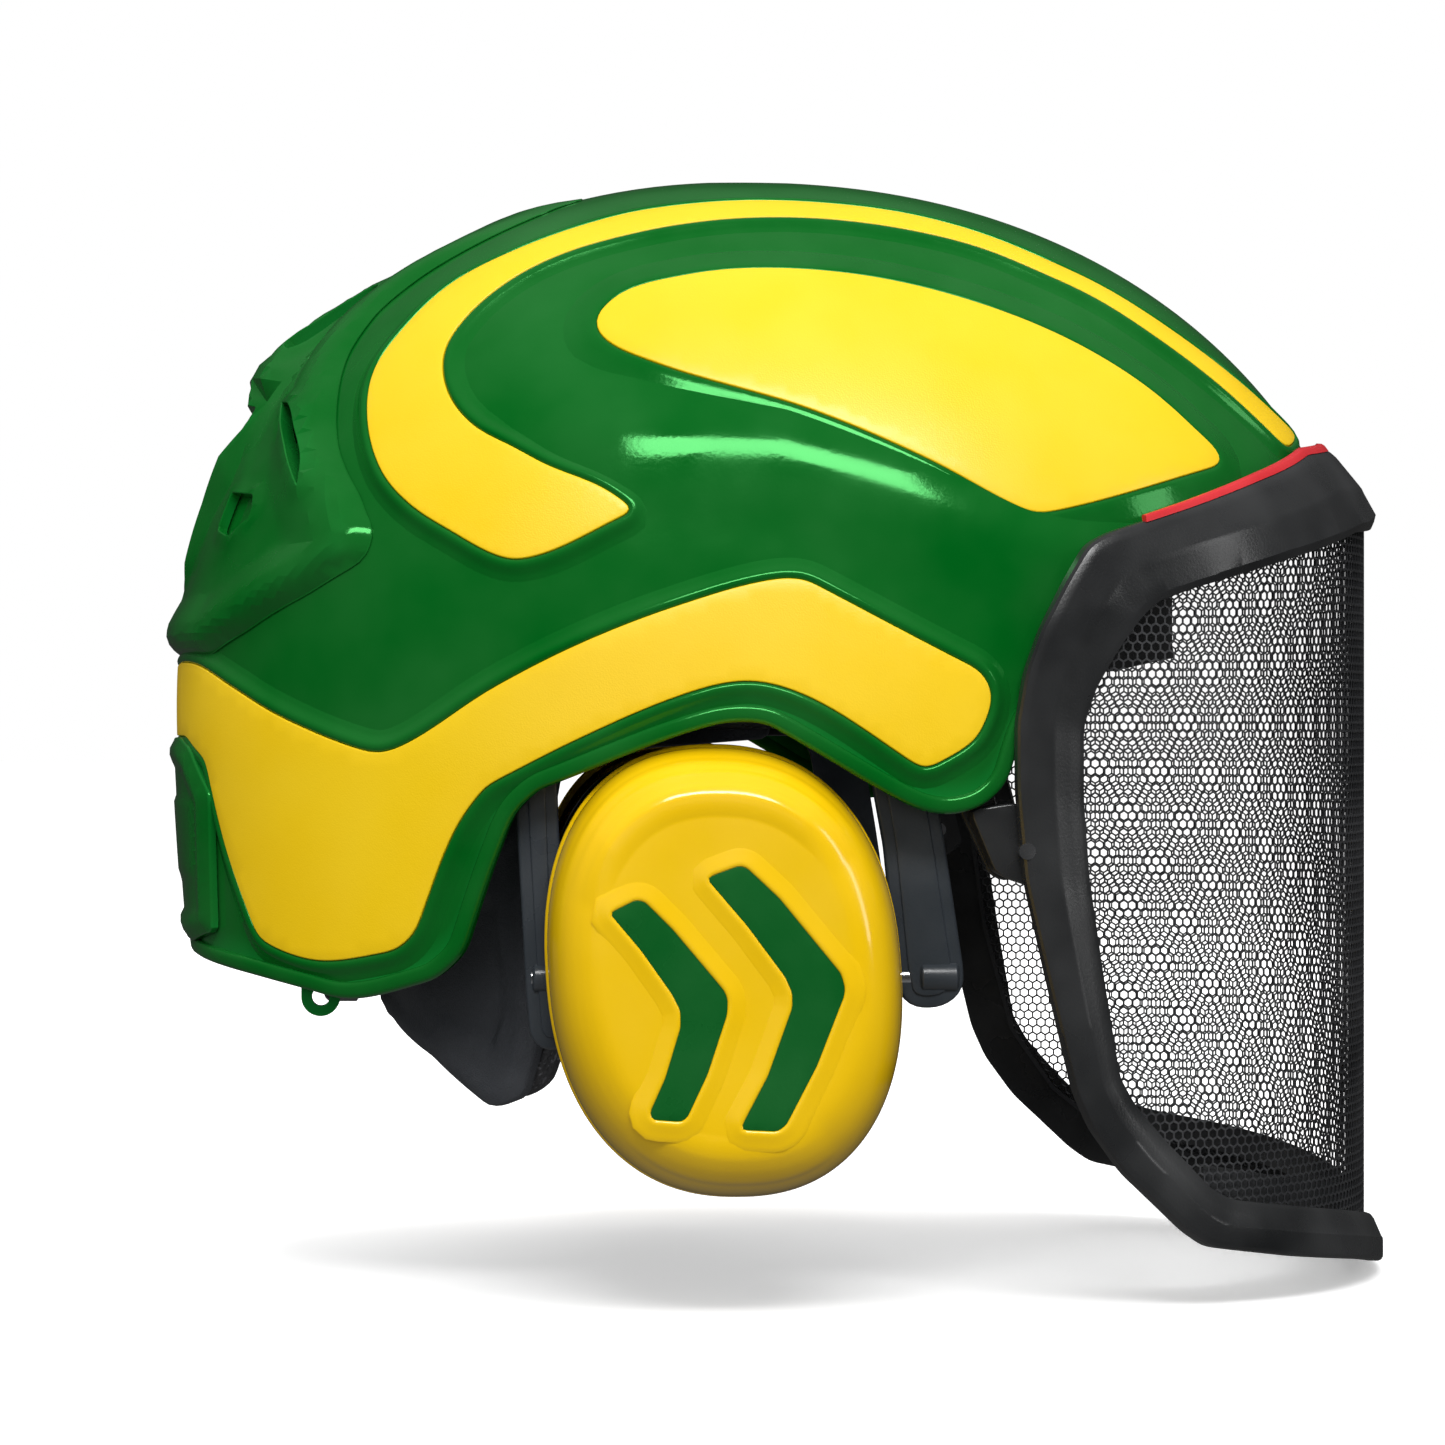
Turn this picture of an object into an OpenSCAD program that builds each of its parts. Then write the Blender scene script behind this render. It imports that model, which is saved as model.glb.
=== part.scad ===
// Forestry helmet: shell, mesh visor, swing-out ear muffs and an adjustable headband.
// Millimetres. +X is forward, +Y is the wearer's left, +Z is up.
// The origin is the centre of the head opening, at the height of the headband.

/* [Shell] */
// Reach of the shell ahead of the origin
front_reach = 170.5; // [150:0.5:205]
// Reach of the shell behind the origin, before its flat rear wall cuts in
rear_reach = 152; // [134:0.5:182]
// Half of the shell's width
half_width = 115; // [107:0.5:138]
// Height of the crown above the headband
crown_height = 153; // [140:0.5:184]
// Thickness of the shell
shell_wall = 3.5; // [2.5:0.1:4.2]
// Thickness of the energy-absorbing liner at the crown
liner_thickness = 18; // [12:0.5:22]

/* [Panels] */
// Thickness of the coloured panels that lie on the shell
panel_thickness = 1.2; // [0.8:0.1:1.6]
// How far the rear cowl stands off the shell
cowl_height = 6; // [4:0.5:8]

/* [Visor] */
// Radial depth of the visor frame
frame_depth = 4; // [3:0.25:4.5]
// Gap between the widest part of the shell and the inside of the visor frame
visor_gap = 1.4; // [0.8:0.1:2]
// Radius of the visor's pivot pins
visor_pin_r = 4; // [3:0.25:5]

/* [Ear muffs] */
// Half of an ear cup's length, front to rear
cup_half_len = 42.5; // [36:0.5:48]
// Half of an ear cup's height
cup_half_height = 54; // [46:0.5:56]
// Depth of the hard ear cup from its rim to its face
cup_depth = 26.5; // [22:0.5:31]
// Thickness of the ear cushion
cushion_depth = 16; // [12:0.5:18]
// Radius of the pins that an ear cup tilts on
cup_pin_r = 2; // [1.5:0.25:2.5]
// Radius of the pin that a fork swings out on
fork_pin_r = 1.75; // [1.5:0.05:2]
// How far an ear cup can be lowered
muff_travel = 18; // [10:1:20]

/* [Headband] */
// Half of the head's length inside the headband
head_half_len = 104; // [96:0.5:108]
// Half of the head's width inside the headband
head_half_width = 79; // [72:0.5:82]
// Height of the headband
headband_height = 30; // [24:1:34]
// Radius of the size knob
knob_r = 17; // [13:0.5:20]
// Radius of the holes in the rear clip tabs
clip_hole_r = 2.2; // [1.5:0.1:3]

/* [Hidden] */

// Colours
green = [0.0, 0.45, 0.16];
yellow = [1.0, 0.83, 0.0];
black = [0.10, 0.10, 0.11];
charcoal = [0.22, 0.23, 0.25];
steel = [0.70, 0.71, 0.73];

// Clearances
skin_gap = 0.35;        // between curved skins that lie on each other
cover_gap = 0.9;        // under the cowl and cap, where the shell curves most
pin_clearance = 0.05;   // radial, between a pin and the hole that turns on it
slide_clearance = 0.2;  // each side of a sliding plate

// Proportions of the outlines below, which are drawn for the nominal shell
kf = front_reach / 170.5;
kr = rear_reach / 152;
kz = crown_height / 153;
kw = half_width / 115;
function kx(x) = x > 0 ? kf : kr;

// ---------- Shell surface ----------
plan_power = 2.2;
side_power = 2.15;
skirt_depth = 420;
rear_wall = 1.0066 * rear_reach;
rear_lean = 0.12;
wall_sharpness = 24;

function height_share(z) = z > 0 ? z / crown_height : -z / skirt_depth;
function plan_share(z) =
    pow(max(1 - pow(height_share(z), side_power), 0), plan_power / side_power);
function reach(az) = cos(az) > 0 ? front_reach : rear_reach;
function free_radius(az, z) =
    pow(plan_share(z) / (pow(abs(cos(az)) / reach(az), plan_power)
        + pow(abs(sin(az)) / half_width, plan_power)), 1 / plan_power);
function wall_radius(az, z) =
    cos(az) < -0.1 ? (rear_wall + rear_lean * z) / -cos(az) : 20 * rear_wall;
function shell_radius(az, z) =
    pow(pow(free_radius(az, z), -wall_sharpness) + pow(wall_radius(az, z), -wall_sharpness),
        -1 / wall_sharpness);
// Azimuth 0 is the front and 90 the wearer's right
function polar(az, r, z) = [r * cos(az), -r * sin(az), z];
function shell_point(az, z) = polar(az, shell_radius(az, z), z);
function unit(v) = v / norm(v);
function shell_normal(az, z) =
    unit(cross(shell_point(az + 1, z) - shell_point(az - 1, z),
        shell_point(az, z - 0.4) - shell_point(az, z + 0.4)));
function on_shell(az, z, off) = shell_point(az, z) + off * shell_normal(az, z);
// Azimuth of the shell point with a given x and z, or a given y and z on the rear
function side_y(x, z) =
    half_width * pow(max(plan_share(z) - pow(abs(x) / reach(x > 0 ? 0 : 180), plan_power), 0.0001),
        1 / plan_power);
function az_of_x(x, z) = atan2(side_y(x, z), x);
function az_of_y(y, z, n = 6) =
    n == 0 ? 160 : 180 - asin(max(min(y / shell_radius(az_of_y(y, z, n - 1), z), 1), -1));

// ---------- Skins: closed solids between two grids of points ----------
function flatten(rows) = [for (row = rows) for (p = row) p];
function solid_cell(keep, i, j, wrap) =
    let (n = len(keep), m = len(keep[0]), jj = wrap ? (j + m) % m : j)
    i >= 0 && i < n && jj >= 0 && jj < m && keep[i][jj];
function both(q) = [[q[0], q[1], q[2]], [q[0], q[2], q[3]]];
function all_cells(rows, wrap) =
    [for (i = [0 : len(rows) - 2]) [for (j = [0 : len(rows[0]) - (wrap ? 1 : 2)]) true]];
module skin(outer, inner, keep, wrap = false, poles = []) {
    cells = is_undef(keep) ? all_cells(outer, wrap) : keep;
    m = len(outer[0]);
    rows = len(outer) - 1;
    total = len(outer) * m;
    capped = len(poles) == 2;
    function at(i, j) = i * m + j % m;
    faces = [for (i = [0 : len(cells) - 1]) for (j = [0 : len(cells[0]) - 1]) if (cells[i][j])
        let (a = at(i, j), b = at(i, j + 1), c = at(i + 1, j + 1), d = at(i + 1, j), t = total)
        each concat(
            both([a, b, c, d]),
            both([t + a, t + d, t + c, t + b]),
            solid_cell(cells, i - 1, j, wrap) ? [] : both([b, a, t + a, t + b]),
            solid_cell(cells, i, j + 1, wrap) ? [] : both([c, b, t + b, t + c]),
            (solid_cell(cells, i + 1, j, wrap) || (capped && i == rows - 1)) ? []
                : both([d, c, t + c, t + d]),
            solid_cell(cells, i, j - 1, wrap) ? [] : both([a, d, t + d, t + a]))];
    caps = !capped ? [] : [for (j = [0 : m - 1]) each [
        [at(rows, j), at(rows, j + 1), 2 * total],
        [total + at(rows, j + 1), total + at(rows, j), 2 * total + 1]]];
    polyhedron(concat(flatten(outer), flatten(inner), poles), concat(faces, caps));
}
// A closed ring swept through sections that each have the same number of points
module ring(sections) {
    n = len(sections);
    m = len(sections[0]);
    polyhedron(flatten(sections), [for (i = [0 : n - 1]) for (j = [0 : m - 1])
        each both([i * m + j, i * m + (j + 1) % m,
            ((i + 1) % n) * m + (j + 1) % m, ((i + 1) % n) * m + j])]);
}
// The same piece on the wearer's left
module left() { mirror([0, 1, 0]) children(); }

// ---------- Outer shell ----------
// Height of the lower edge at each azimuth, for the nominal shell
edge_line = [[0, 64], [25, 61], [40, 50], [50, 38], [58, 24], [62, 10], [64, -3], [66, -7],
    [69, -8.5], [72, -7.5], [74, -5.5], [87, 9], [90, 12], [94.5, 12], [98, 10], [118, -6],
    [121, -12], [123, -19], [127, -44], [129.5, -49], [139, -54], [144, -52], [152, -49],
    [165, -46], [180, -45]];
shell_columns = 72;
shell_rows = 14;
pole_gap = 0.8;         // height of the small cap that closes the crown
function fold(az) = abs(az > 180 ? az - 360 : az);
function edge_z(az) = kz * lookup(fold(az), edge_line);
function dome_z(low, high, share) = low + (high - low) * sin(90 * share);
function dome_grid(columns, rows, low_line, off) = [for (i = [0 : rows])
    [for (j = [0 : columns - 1]) let (az = 360 * j / columns)
        on_shell(az, dome_z(kz * lookup(fold(az), low_line), crown_height - pole_gap, i / rows),
            off)]];
// Vents under the rear cowl: row of the grid, then the azimuths of both sides
vents = [[6, 155, 165], [6, 170, 175], [8, 165, 175]];
function is_vent(az, i) =
    len([for (v = vents) if (i == v[0] && fold(az) > v[1] && fold(az) < v[2]) 1]) > 0;
module outer_shell() color(green) {
    skin(dome_grid(shell_columns, shell_rows, edge_line, 0),
        dome_grid(shell_columns, shell_rows, edge_line, -shell_wall),
        keep = [for (i = [0 : shell_rows - 1]) [for (j = [0 : shell_columns - 1])
            !is_vent(360 * (j + 0.5) / shell_columns, i)]],
        wrap = true,
        poles = [[0, 0, crown_height], [0, 0, crown_height - shell_wall]]);
}

// ---------- Panels on the shell ----------
module panel(lines, off = skin_gap) {
    function lay(depth) = [for (line = lines) [for (p = line) on_shell(p[0], p[1], depth)]];
    skin(lay(off + panel_thickness), lay(off));
}
across = 3;             // strips across a panel

// Lower yellow band: height of its two edges at each azimuth
band_top = [[64.5, 18], [65.5, 22], [84, 42], [86, 44], [89, 44], [102, 37], [113, 28], [122, 18],
    [133, 3], [135, 2], [137, 3], [148, 12], [154, 18], [162, 24], [180, 24]];
band_low = [[64.5, 15], [66, 7], [67, 5], [72, -1], [85, 16], [91, 20], [95, 20], [102, 16],
    [113, 6], [123, -5], [126, -14], [131, -41], [133, -45], [142, -48], [148, -45], [150, -43],
    [155, -21], [159, 1], [165, 7], [180, 7]];
band_end = 179.7;
band_columns = 46;
module side_band() color(yellow)
    panel([for (k = [0 : across]) [for (j = [0 : band_columns])
        let (az = 64.5 + (band_end - 64.5) * j / band_columns)
        [az, kz * (lookup(az, band_low) * (1 - k / across) + lookup(az, band_top) * k / across)]]]);

// Almond panel above it, as heights of its two edges at each x
eye_top = [[-41, 109], [-39, 112], [-34, 116], [-20, 120], [-5, 122], [21, 121], [46, 116],
    [74, 106], [95, 94], [108, 83], [115, 75.5]];
eye_low = [[-41, 107], [-39, 104], [-27, 98], [11, 86], [39, 74], [62, 62], [65, 61], [69, 61.5],
    [115, 74.5]];
eye_columns = 24;
module eye_panel() color(yellow)
    panel([for (k = [0 : across]) [for (j = [0 : eye_columns])
        let (x = 115 - 156 * j / eye_columns,
            z = kz * (lookup(x, eye_low) * (1 - k / across) + lookup(x, eye_top) * k / across))
        [az_of_x(kx(x) * x, z), z]]]);

// Crescent panel: pairs of points [x, z] across it, outer edge first
crescent_ribs = [[[141, 84], [136, 80]], [[124, 97], [117, 96]], [[106, 109.5], [101, 107.5]],
    [[89, 120], [86, 117]], [[74, 127], [72, 123.5]], [[57, 134], [56, 130]],
    [[38, 139], [37, 134.5]], [[17, 141.5], [16, 137]], [[-2, 142], [-3, 137]],
    [[-20, 140.5], [-17, 135.5]], [[-34, 138], [-30, 133]], [[-60, 129], [-50, 127]],
    [[-77, 120], [-63, 120]], [[-89, 108], [-74, 110]], [[-96, 97], [-79, 101]],
    [[-97, 84], [-78, 91]], [[-93, 71], [-72, 82.5]], [[-86, 63], [-61, 76]],
    [[-77, 57], [-54, 72]], [[-64, 50], [-40, 66]], [[-60, 49.5], [-33, 61]]];
function rib_point(rib, t) =
    let (p = rib[1] * (1 - t) + rib[0] * t) [az_of_x(kx(p[0]) * p[0], kz * p[1]), kz * p[1]];
module crescent() color(yellow)
    panel([for (k = [0 : across]) [for (rib = crescent_ribs) rib_point(rib, k / across)]],
        2 * skin_gap);

// Rear cowl: half of its width at each height, with windows for the vents
cowl_line = [[27, 50], [33, 64], [42, 78], [50, 86], [57, 85], [66, 79], [78, 68], [91, 57],
    [104, 45], [116, 36], [126, 33], [134, 32], [141, 28], [147, 18]];
cowl_columns = 16;
cowl_edge_share = 0.45; // the cowl's height at its edges, as a share of its full height
function cowl_point(row, share, off) =
    let (z = kz * row[0], y = kw * row[1] * share) on_shell(az_of_y(y, z), z, off);
function cowl_off(share) = cover_gap + cowl_height * (1 - (1 - cowl_edge_share) * pow(share, 4));
function cowl_window(i, j) =
    let (c = j < cowl_columns / 2 ? j : cowl_columns - 1 - j)
    (i == 5 || i == 7 || i == 9) && (c == 3 || c == 4);
module rear_cowl() {
    shares = [for (j = [0 : cowl_columns]) 1 - 2 * j / cowl_columns];
    color(green) skin([for (row = cowl_line) [for (s = shares) cowl_point(row, s, cowl_off(s))]],
        [for (row = cowl_line) [for (s = shares) cowl_point(row, s, cover_gap)]],
        keep = [for (i = [0 : len(cowl_line) - 2]) [for (j = [0 : cowl_columns - 1])
            !cowl_window(i, j)]]);
}

// Rear cap below the band, at the back of the shell
cap_az = 158;
cap_rise = 3.4;
cap_low = [[158, -42], [165, -45], [180, -44]];
cap_top = [[158, -8], [163, 3], [167, 5.5], [180, 5.5]];
cap_columns = 14;
module rear_cap() {
    function lay(off) = [for (t = [0 : 0.25 : 1]) [for (j = [0 : cap_columns])
        let (az = cap_az + (360 - 2 * cap_az) * j / cap_columns)
        on_shell(az, kz * (lookup(fold(az), cap_low) * (1 - t) + lookup(fold(az), cap_top) * t),
            off)]];
    color(green) skin(lay(cover_gap + cap_rise), lay(cover_gap));
}

// ---------- Liner and harness ----------
liner_line = [[0, 72], [35, 66], [50, 60], [62, 58], [125, 58], [140, 26], [160, 0], [180, -6]];
liner_columns = 48;
liner_rows = 9;
module eps_liner() color(charcoal)
    skin(dome_grid(liner_columns, liner_rows, liner_line, -shell_wall - skin_gap - 0.35),
        dome_grid(liner_columns, liner_rows, liner_line,
            -shell_wall - skin_gap - liner_thickness),
        wrap = true,
        poles = [[0, 0, crown_height - shell_wall - skin_gap - 0.35],
            [0, 0, crown_height - shell_wall - skin_gap - liner_thickness]]);

head_x = 8;             // the head's centre sits slightly ahead of the origin
band_wall = 2;
net_height = crown_height - shell_wall - liner_thickness - 16;
function ellipse_radius(az, a, b, p = 2) =
    pow(pow(abs(cos(az)) / a, p) + pow(abs(sin(az)) / b, p), (-1) / p);
function about_head(az, off, z, p = 2) =
    [head_x, 0, 0] + polar(az, ellipse_radius(az, head_half_len + off, head_half_width + off, p), z);

// The harness climbs towards the brow
function brow_rise(az) = 36 * max(0, cos(az));
// Headband: open at the rear, where the cradle's arms slide over it
headband_end = 105;
headband_columns = 42;
// Height of its lower edge: low over the brow, above the ear cushions at the sides
band_low_line = [[0, -9], [30, -8], [48, -4], [60, 6], [105, 7]];
module headband() {
    function lay(off) = [for (high = [0, 1])
        [for (j = [0 : headband_columns]) let (az = headband_end * (2 * j / headband_columns - 1))
            about_head(az, off, brow_rise(az)
                + headband_height / 30 * (high == 1 ? 21 : lookup(fold(az), band_low_line)))]];
    color(black) skin(lay(band_wall), lay(0));
}
// Sweat pad behind the forehead
pad_end = 52;
pad_depth = 7;
module brow_pad() {
    function lay(off) = [for (z = [-0.2, 0.2, 0.75] * headband_height)
        [for (j = [0 : 14]) let (az = pad_end * (j / 7 - 1))
            about_head(az, off, z + brow_rise(az))]];
    color(charcoal) skin(lay(-0.4), lay(-0.4 - pad_depth));
}
// Six straps that meet over the crown
strap_count = 6;
net_columns = 48;
net_rows = 9;
net_low = 0.72 * headband_height;
net_off = band_wall + 1.4;  // the straps lie outside the headband
module crown_net() {
    function lay(off) = [for (i = [0 : net_rows]) [for (j = [0 : net_columns - 1])
        let (az = 360 * j / net_columns, t = 82 * i / net_rows,
            r = ellipse_radius(az, head_half_len + off, head_half_width + off),
            low = net_low + brow_rise(az))
        [head_x, 0, 0] + polar(az, r * cos(t), low + (net_height - low + off) * sin(t))]];
    color(black) skin(lay(net_off + 1.2), lay(net_off),
        keep = [for (i = [0 : net_rows - 1]) [for (j = [0 : net_columns - 1])
            i > net_rows - 3 || (j + 1) % (net_columns / strap_count) < 2]],
        wrap = true,
        poles = [[head_x, 0, net_height + net_off + 1.2], [head_x, 0, net_height + net_off]]);
}
// Plastic hooks that hold the straps to the headband
hook_az = [0, 60, 300];
module net_hooks() color(black)
    for (az = hook_az)
        translate(about_head(az, band_wall + 5.7, net_low + brow_rise(az)))
            rotate([0, 0, -az])
                translate([-1, 0, 0]) cube([3, 12, 16], center = true);

// ---------- Ear muffs, drawn on the wearer's right ----------
cup_x = -11 * kf;
cup_z = -50;
muff_y = -(half_width - 16.5);      // middle plane of the fork, slider and pins
plate = 3;                          // thickness of the fork and slider plates
hinge_z = 12;
pivot_z = cup_z - 2;
slider_w = 20;
slider_top = 44;
guide_low = slider_top - muff_travel - 6;   // the slider's tongue stays held when lowered
guide_top = 50;
knuckle_r = fork_pin_r + 1.75;
cup_lean = -0.06;                   // sideways shift of the cup's outline per mm of height
base_y = muff_y + plate / 2 + 2.5;  // face of the base that carries the cushion
base_depth = 9.1;
rim_y = base_y - base_depth - 0.4;
cup_points = 44;
function cup_outline(s, dx = 0) = [for (k = [0 : cup_points - 1])
    let (t = 360 * k / cup_points, c = cos(t), n = sin(t), e = 2 / 2.3,
        x = sign(c) * pow(abs(c), e) * (cup_half_len * s - dx),
        z = sign(n) * pow(abs(n), e) * (cup_half_height * s - dx))
    [cup_x + x + cup_lean * z, cup_z + z]];
module along_y(y, depth) translate([0, y, 0]) rotate([90, 0, 0]) linear_extrude(depth) children();
module pin_x(x0, x1, r, y, z)
    translate([x0, y, z]) rotate([0, 90, 0]) cylinder(r = r, h = x1 - x0, $fn = 48);
module block(x0, x1, y0, y1, z0, z1)
    translate([x0, y0, z0]) cube([x1 - x0, y1 - y0, z1 - z0]);

guide_wall = 3.5;
module muff_guide() color(black)
    difference() {
        block(cup_x + 1 - slider_w / 2 - 7, cup_x + 1 + slider_w / 2 + 7,
            muff_y - plate / 2 - guide_wall, muff_y + plate / 2 + guide_wall, guide_low, guide_top);
        block(cup_x + 1 - slider_w / 2 - slide_clearance, cup_x + 1 + slider_w / 2 + slide_clearance,
            muff_y - plate / 2 - slide_clearance, muff_y + plate / 2 + slide_clearance,
            guide_low - 1, guide_top + 1);
    }
module muff_slider() color(black)
    difference() {
        union() {
            block(cup_x + 1 - slider_w / 2, cup_x + 1 + slider_w / 2,
                muff_y - plate / 2, muff_y + plate / 2, hinge_z, slider_top);
            pin_x(cup_x + 1 - slider_w / 2, cup_x + 1 + slider_w / 2, knuckle_r, muff_y, hinge_z);
        }
        pin_x(cup_x - slider_w, cup_x + slider_w, fork_pin_r, muff_y, hinge_z);
    }
knuckle_w = 6;
knuckle_gap = 0.35;
module hinge_pin() color(steel)
    pin_x(cup_x + 1 - slider_w / 2 - knuckle_w, cup_x + 1 + slider_w / 2 + knuckle_w,
        fork_pin_r, muff_y, hinge_z);

// Fork: two limbs beside the cup, joined by a bridge behind the slider
limb_front = [[5, 9], [5, 17], [30, 17], [38, 7], [42.5, -20], [47, -50], [47, -55], [43, -58.5],
    [37, -59], [33.5, -57], [32, -50], [29, -20], [25, 2], [20, 9]];
limb_rear = [[-25, 9], [-25, 17], [-51, 17], [-57, 9], [-60, 0], [-60.5, -10], [-58, -55],
    [-57, -66], [-54, -69], [-49, -68], [-48.5, -60], [-51, -30], [-52, -4], [-46, 9]];
pin_bosses = [[37.2, 46.6], [-57.2, -49.2]];
bridge_y = muff_y + knuckle_r + 0.6;
bridge_plate = 2.6;
module muff_fork() {
    first = cup_x + 1 - slider_w / 2 - knuckle_gap;
    last = cup_x + 1 + slider_w / 2 + knuckle_gap;
    shift = cup_x + 11;
    color(charcoal) difference() {
        union() {
            translate([shift, 0, 0])
                along_y(muff_y + plate / 2, plate) polygon(limb_front);
            translate([shift, 0, 0])
                along_y(muff_y + plate / 2, plate) polygon(limb_rear);
            for (x = pin_bosses) pin_x(x[0] + shift, x[1] + shift, cup_pin_r + 1.7, muff_y, pivot_z);
            for (x = [first - knuckle_w, last]) {
                pin_x(x, x + knuckle_w, knuckle_r, muff_y, hinge_z);
                block(x, x + knuckle_w, muff_y, bridge_y + bridge_plate, hinge_z - 2, hinge_z + 6);
            }
            block(first - knuckle_w, last + knuckle_w, bridge_y, bridge_y + bridge_plate,
                hinge_z - 2, hinge_z + 6);
        }
        pin_x(first - knuckle_w - 0.1, last + knuckle_w + 0.1, fork_pin_r + pin_clearance,
            muff_y, hinge_z);
        pin_x(cup_x - 90, cup_x + 90, cup_pin_r, muff_y, pivot_z);
    }
}
module cup_pins() color(steel) {
    pin_x(cup_x + 0.62 * cup_half_len, cup_x + 57, cup_pin_r, muff_y, pivot_z);
    pin_x(cup_x - 46.5, cup_x - 0.62 * cup_half_len, cup_pin_r, muff_y, pivot_z);
}
module cup_base() color(black)
    difference() {
        along_y(base_y, base_depth)
            difference() {
                polygon(cup_outline(0.88));
                polygon(cup_outline(0.55));
            }
        for (side = [-1, 1])
            translate([cup_x + side * cup_half_len * 0.8, muff_y, pivot_z])
                rotate([0, 90, 0])
                    cylinder(r = cup_pin_r + pin_clearance, h = 0.4 * cup_half_len, center = true,
                        $fn = 48);
    }
// Dome of the cup: [share of the outline, share of the depth] of each layer
dome_layers = [[1, 0], [1, 0.26], [0.955, 0.6], [0.88, 0.83], [0.77, 1]];
cup_wall = 2.5;
function cup_layer(s, y, dx) = [for (p = cup_outline(s, dx)) [p[0], y, p[1]]];
module cup_shell() {
    n = len(dome_layers) - 1;
    outside = [for (l = dome_layers) cup_layer(l[0], rim_y - l[1] * cup_depth, 0)];
    inside = [for (l = dome_layers) cup_layer(l[0], rim_y - l[1] * (cup_depth - cup_wall), cup_wall)];
    m = cup_points;
    k = m * (n + 1);
    color(yellow) polyhedron(concat(flatten(outside), flatten(inside)), concat(
        [for (i = [0 : n - 1]) for (j = [0 : m - 1]) each concat(
            both([i * m + j, i * m + (j + 1) % m, (i + 1) * m + (j + 1) % m, (i + 1) * m + j]),
            both([k + i * m + (j + 1) % m, k + i * m + j, k + (i + 1) * m + j,
                k + (i + 1) * m + (j + 1) % m]))],
        [for (j = [0 : m - 1]) each both([(j + 1) % m, j, k + j, k + (j + 1) % m])],
        [[for (j = [0 : m - 1]) n * m + j], [for (j = [m - 1 : -1 : 0]) k + n * m + j]]));
}
// Two chevrons on the face, as [x, z] from the cup's centre
chevron_rear = [[-26, 15], [-20, 18], [-13, 11], [-1, -4], [-1, -9], [-5, -23], [-11, -34],
    [-18, -33], [-15, -24], [-11.5, -12], [-11.5, -8], [-14, -4]];
chevron_front = [[-4, 23.5], [4, 25.5], [12, 18], [25.5, 1], [25.5, -4], [20, -21], [13, -35],
    [4, -36], [9, -24], [15, -7.5], [15, -3.5], [13, 0]];
inlay_rise = 0.8;
module cup_inlays() color(green)
    for (outline = [chevron_rear, chevron_front])
        translate([cup_x, 0, cup_z])
            along_y(rim_y - cup_depth, inlay_rise)
                polygon([for (p = outline)
                    [p[0] * cup_half_len / 42.5, p[1] * cup_half_height / 54]]);
module ear_cushion() color(black)
    along_y(base_y + 0.3 + cushion_depth, cushion_depth)
        difference() {
            polygon(cup_outline(0.95));
            polygon(cup_outline(0.52));
        }
module cup_foam() color(charcoal)
    along_y(rim_y - 0.3, 0.25 * cup_depth) polygon(cup_outline(0.84));

// ---------- Visor ----------
visor_x = 41 * kf;                          // centre of the visor's plan curve
visor_len = 127 * kf;
visor_half = half_width + visor_gap + 0.4;
visor_power = 2.3;
pivot_x = 35 * kf;
visor_pivot_z = 35 * kz;
// Crease where the brow starts to lean back over the shell
crease_line = [[0, 65.5], [19, 64], [45, 53], [61, 43], [70, 38], [90, 30]];
brow_slope = 0.85;
function visor_radius(a) = ellipse_radius(a, visor_len, visor_half, visor_power);
function brow_lean(a, z) =
    max(0, z - kz * lookup(abs(a), crease_line)) * brow_slope * max(0, cos(1.1 * a));
function on_visor(a, z, off) =
    [visor_x, 0, 0] + polar(a, visor_radius(a) + off - brow_lean(a, z), z);
// Half of the frame, from its top centre to its bottom centre, as [angle, z] pairs of
// its outer edge and its opening
frame_line = [[[0, 82], [0, 61]], [[15, 81.5], [13, 60.5]], [[30, 78.5], [27, 58.5]],
    [[45, 70.5], [44, 50.5]], [[58, 62.5], [58, 43]], [[69, 56], [63, 39.5]], [[72, 53], [65, 36]],
    [[75, 44], [67, 31]], [[78, 33], [69, 25]], [[80, 22], [71, 18]], [[81, 10], [72.5, 9]],
    [[81, -6], [72.5, -9]], [[80, -28], [71.8, -28]], [[77, -54], [70, -52]], [[74, -79], [68, -76]],
    [[72, -88], [66, -83]], [[68, -99], [62, -92]], [[60, -114], [56, -104]], [[57, -118], [53, -107]],
    [[45, -122], [43, -110]], [[30, -126], [29, -114]], [[15, -130.5], [14, -118.5]],
    [[0, -133], [0, -121]]];
frame_half = [for (k = [0 : len(frame_line) - 2]) each
    [frame_line[k], (frame_line[k] + frame_line[k + 1]) / 2], frame_line[len(frame_line) - 1]];
// Share of the way from a station's outer edge to its opening where the brow's crease crosses it
function crease_share(pair) =
    let (c = lookup(pair[0][0], crease_line), t = (pair[0][1] - c) / (pair[0][1] - pair[1][1]))
    pair[0][1] > c && pair[1][1] < c && t > 0.1 && t < 0.95 ? t : 0.5;
function frame_station(pair, side) =
    let (t = crease_share(pair), mid = pair[0] * (1 - t) + pair[1] * t)
    [for (k = [[0, 0], [1, 0], [2, 0], [2, 1], [1, 1], [0, 1]])
        let (p = [pair[0], mid, pair[1]][k[0]])
        on_visor(side * p[0], kz * p[1], -k[1] * frame_depth)];
module visor_frame() {
    n = len(frame_half);
    color(black) ring(concat([for (k = [0 : n - 1]) frame_station(frame_half[k], 1)],
        [for (k = [n - 2 : -1 : 1]) frame_station(frame_half[k], -1)]));
}
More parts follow.
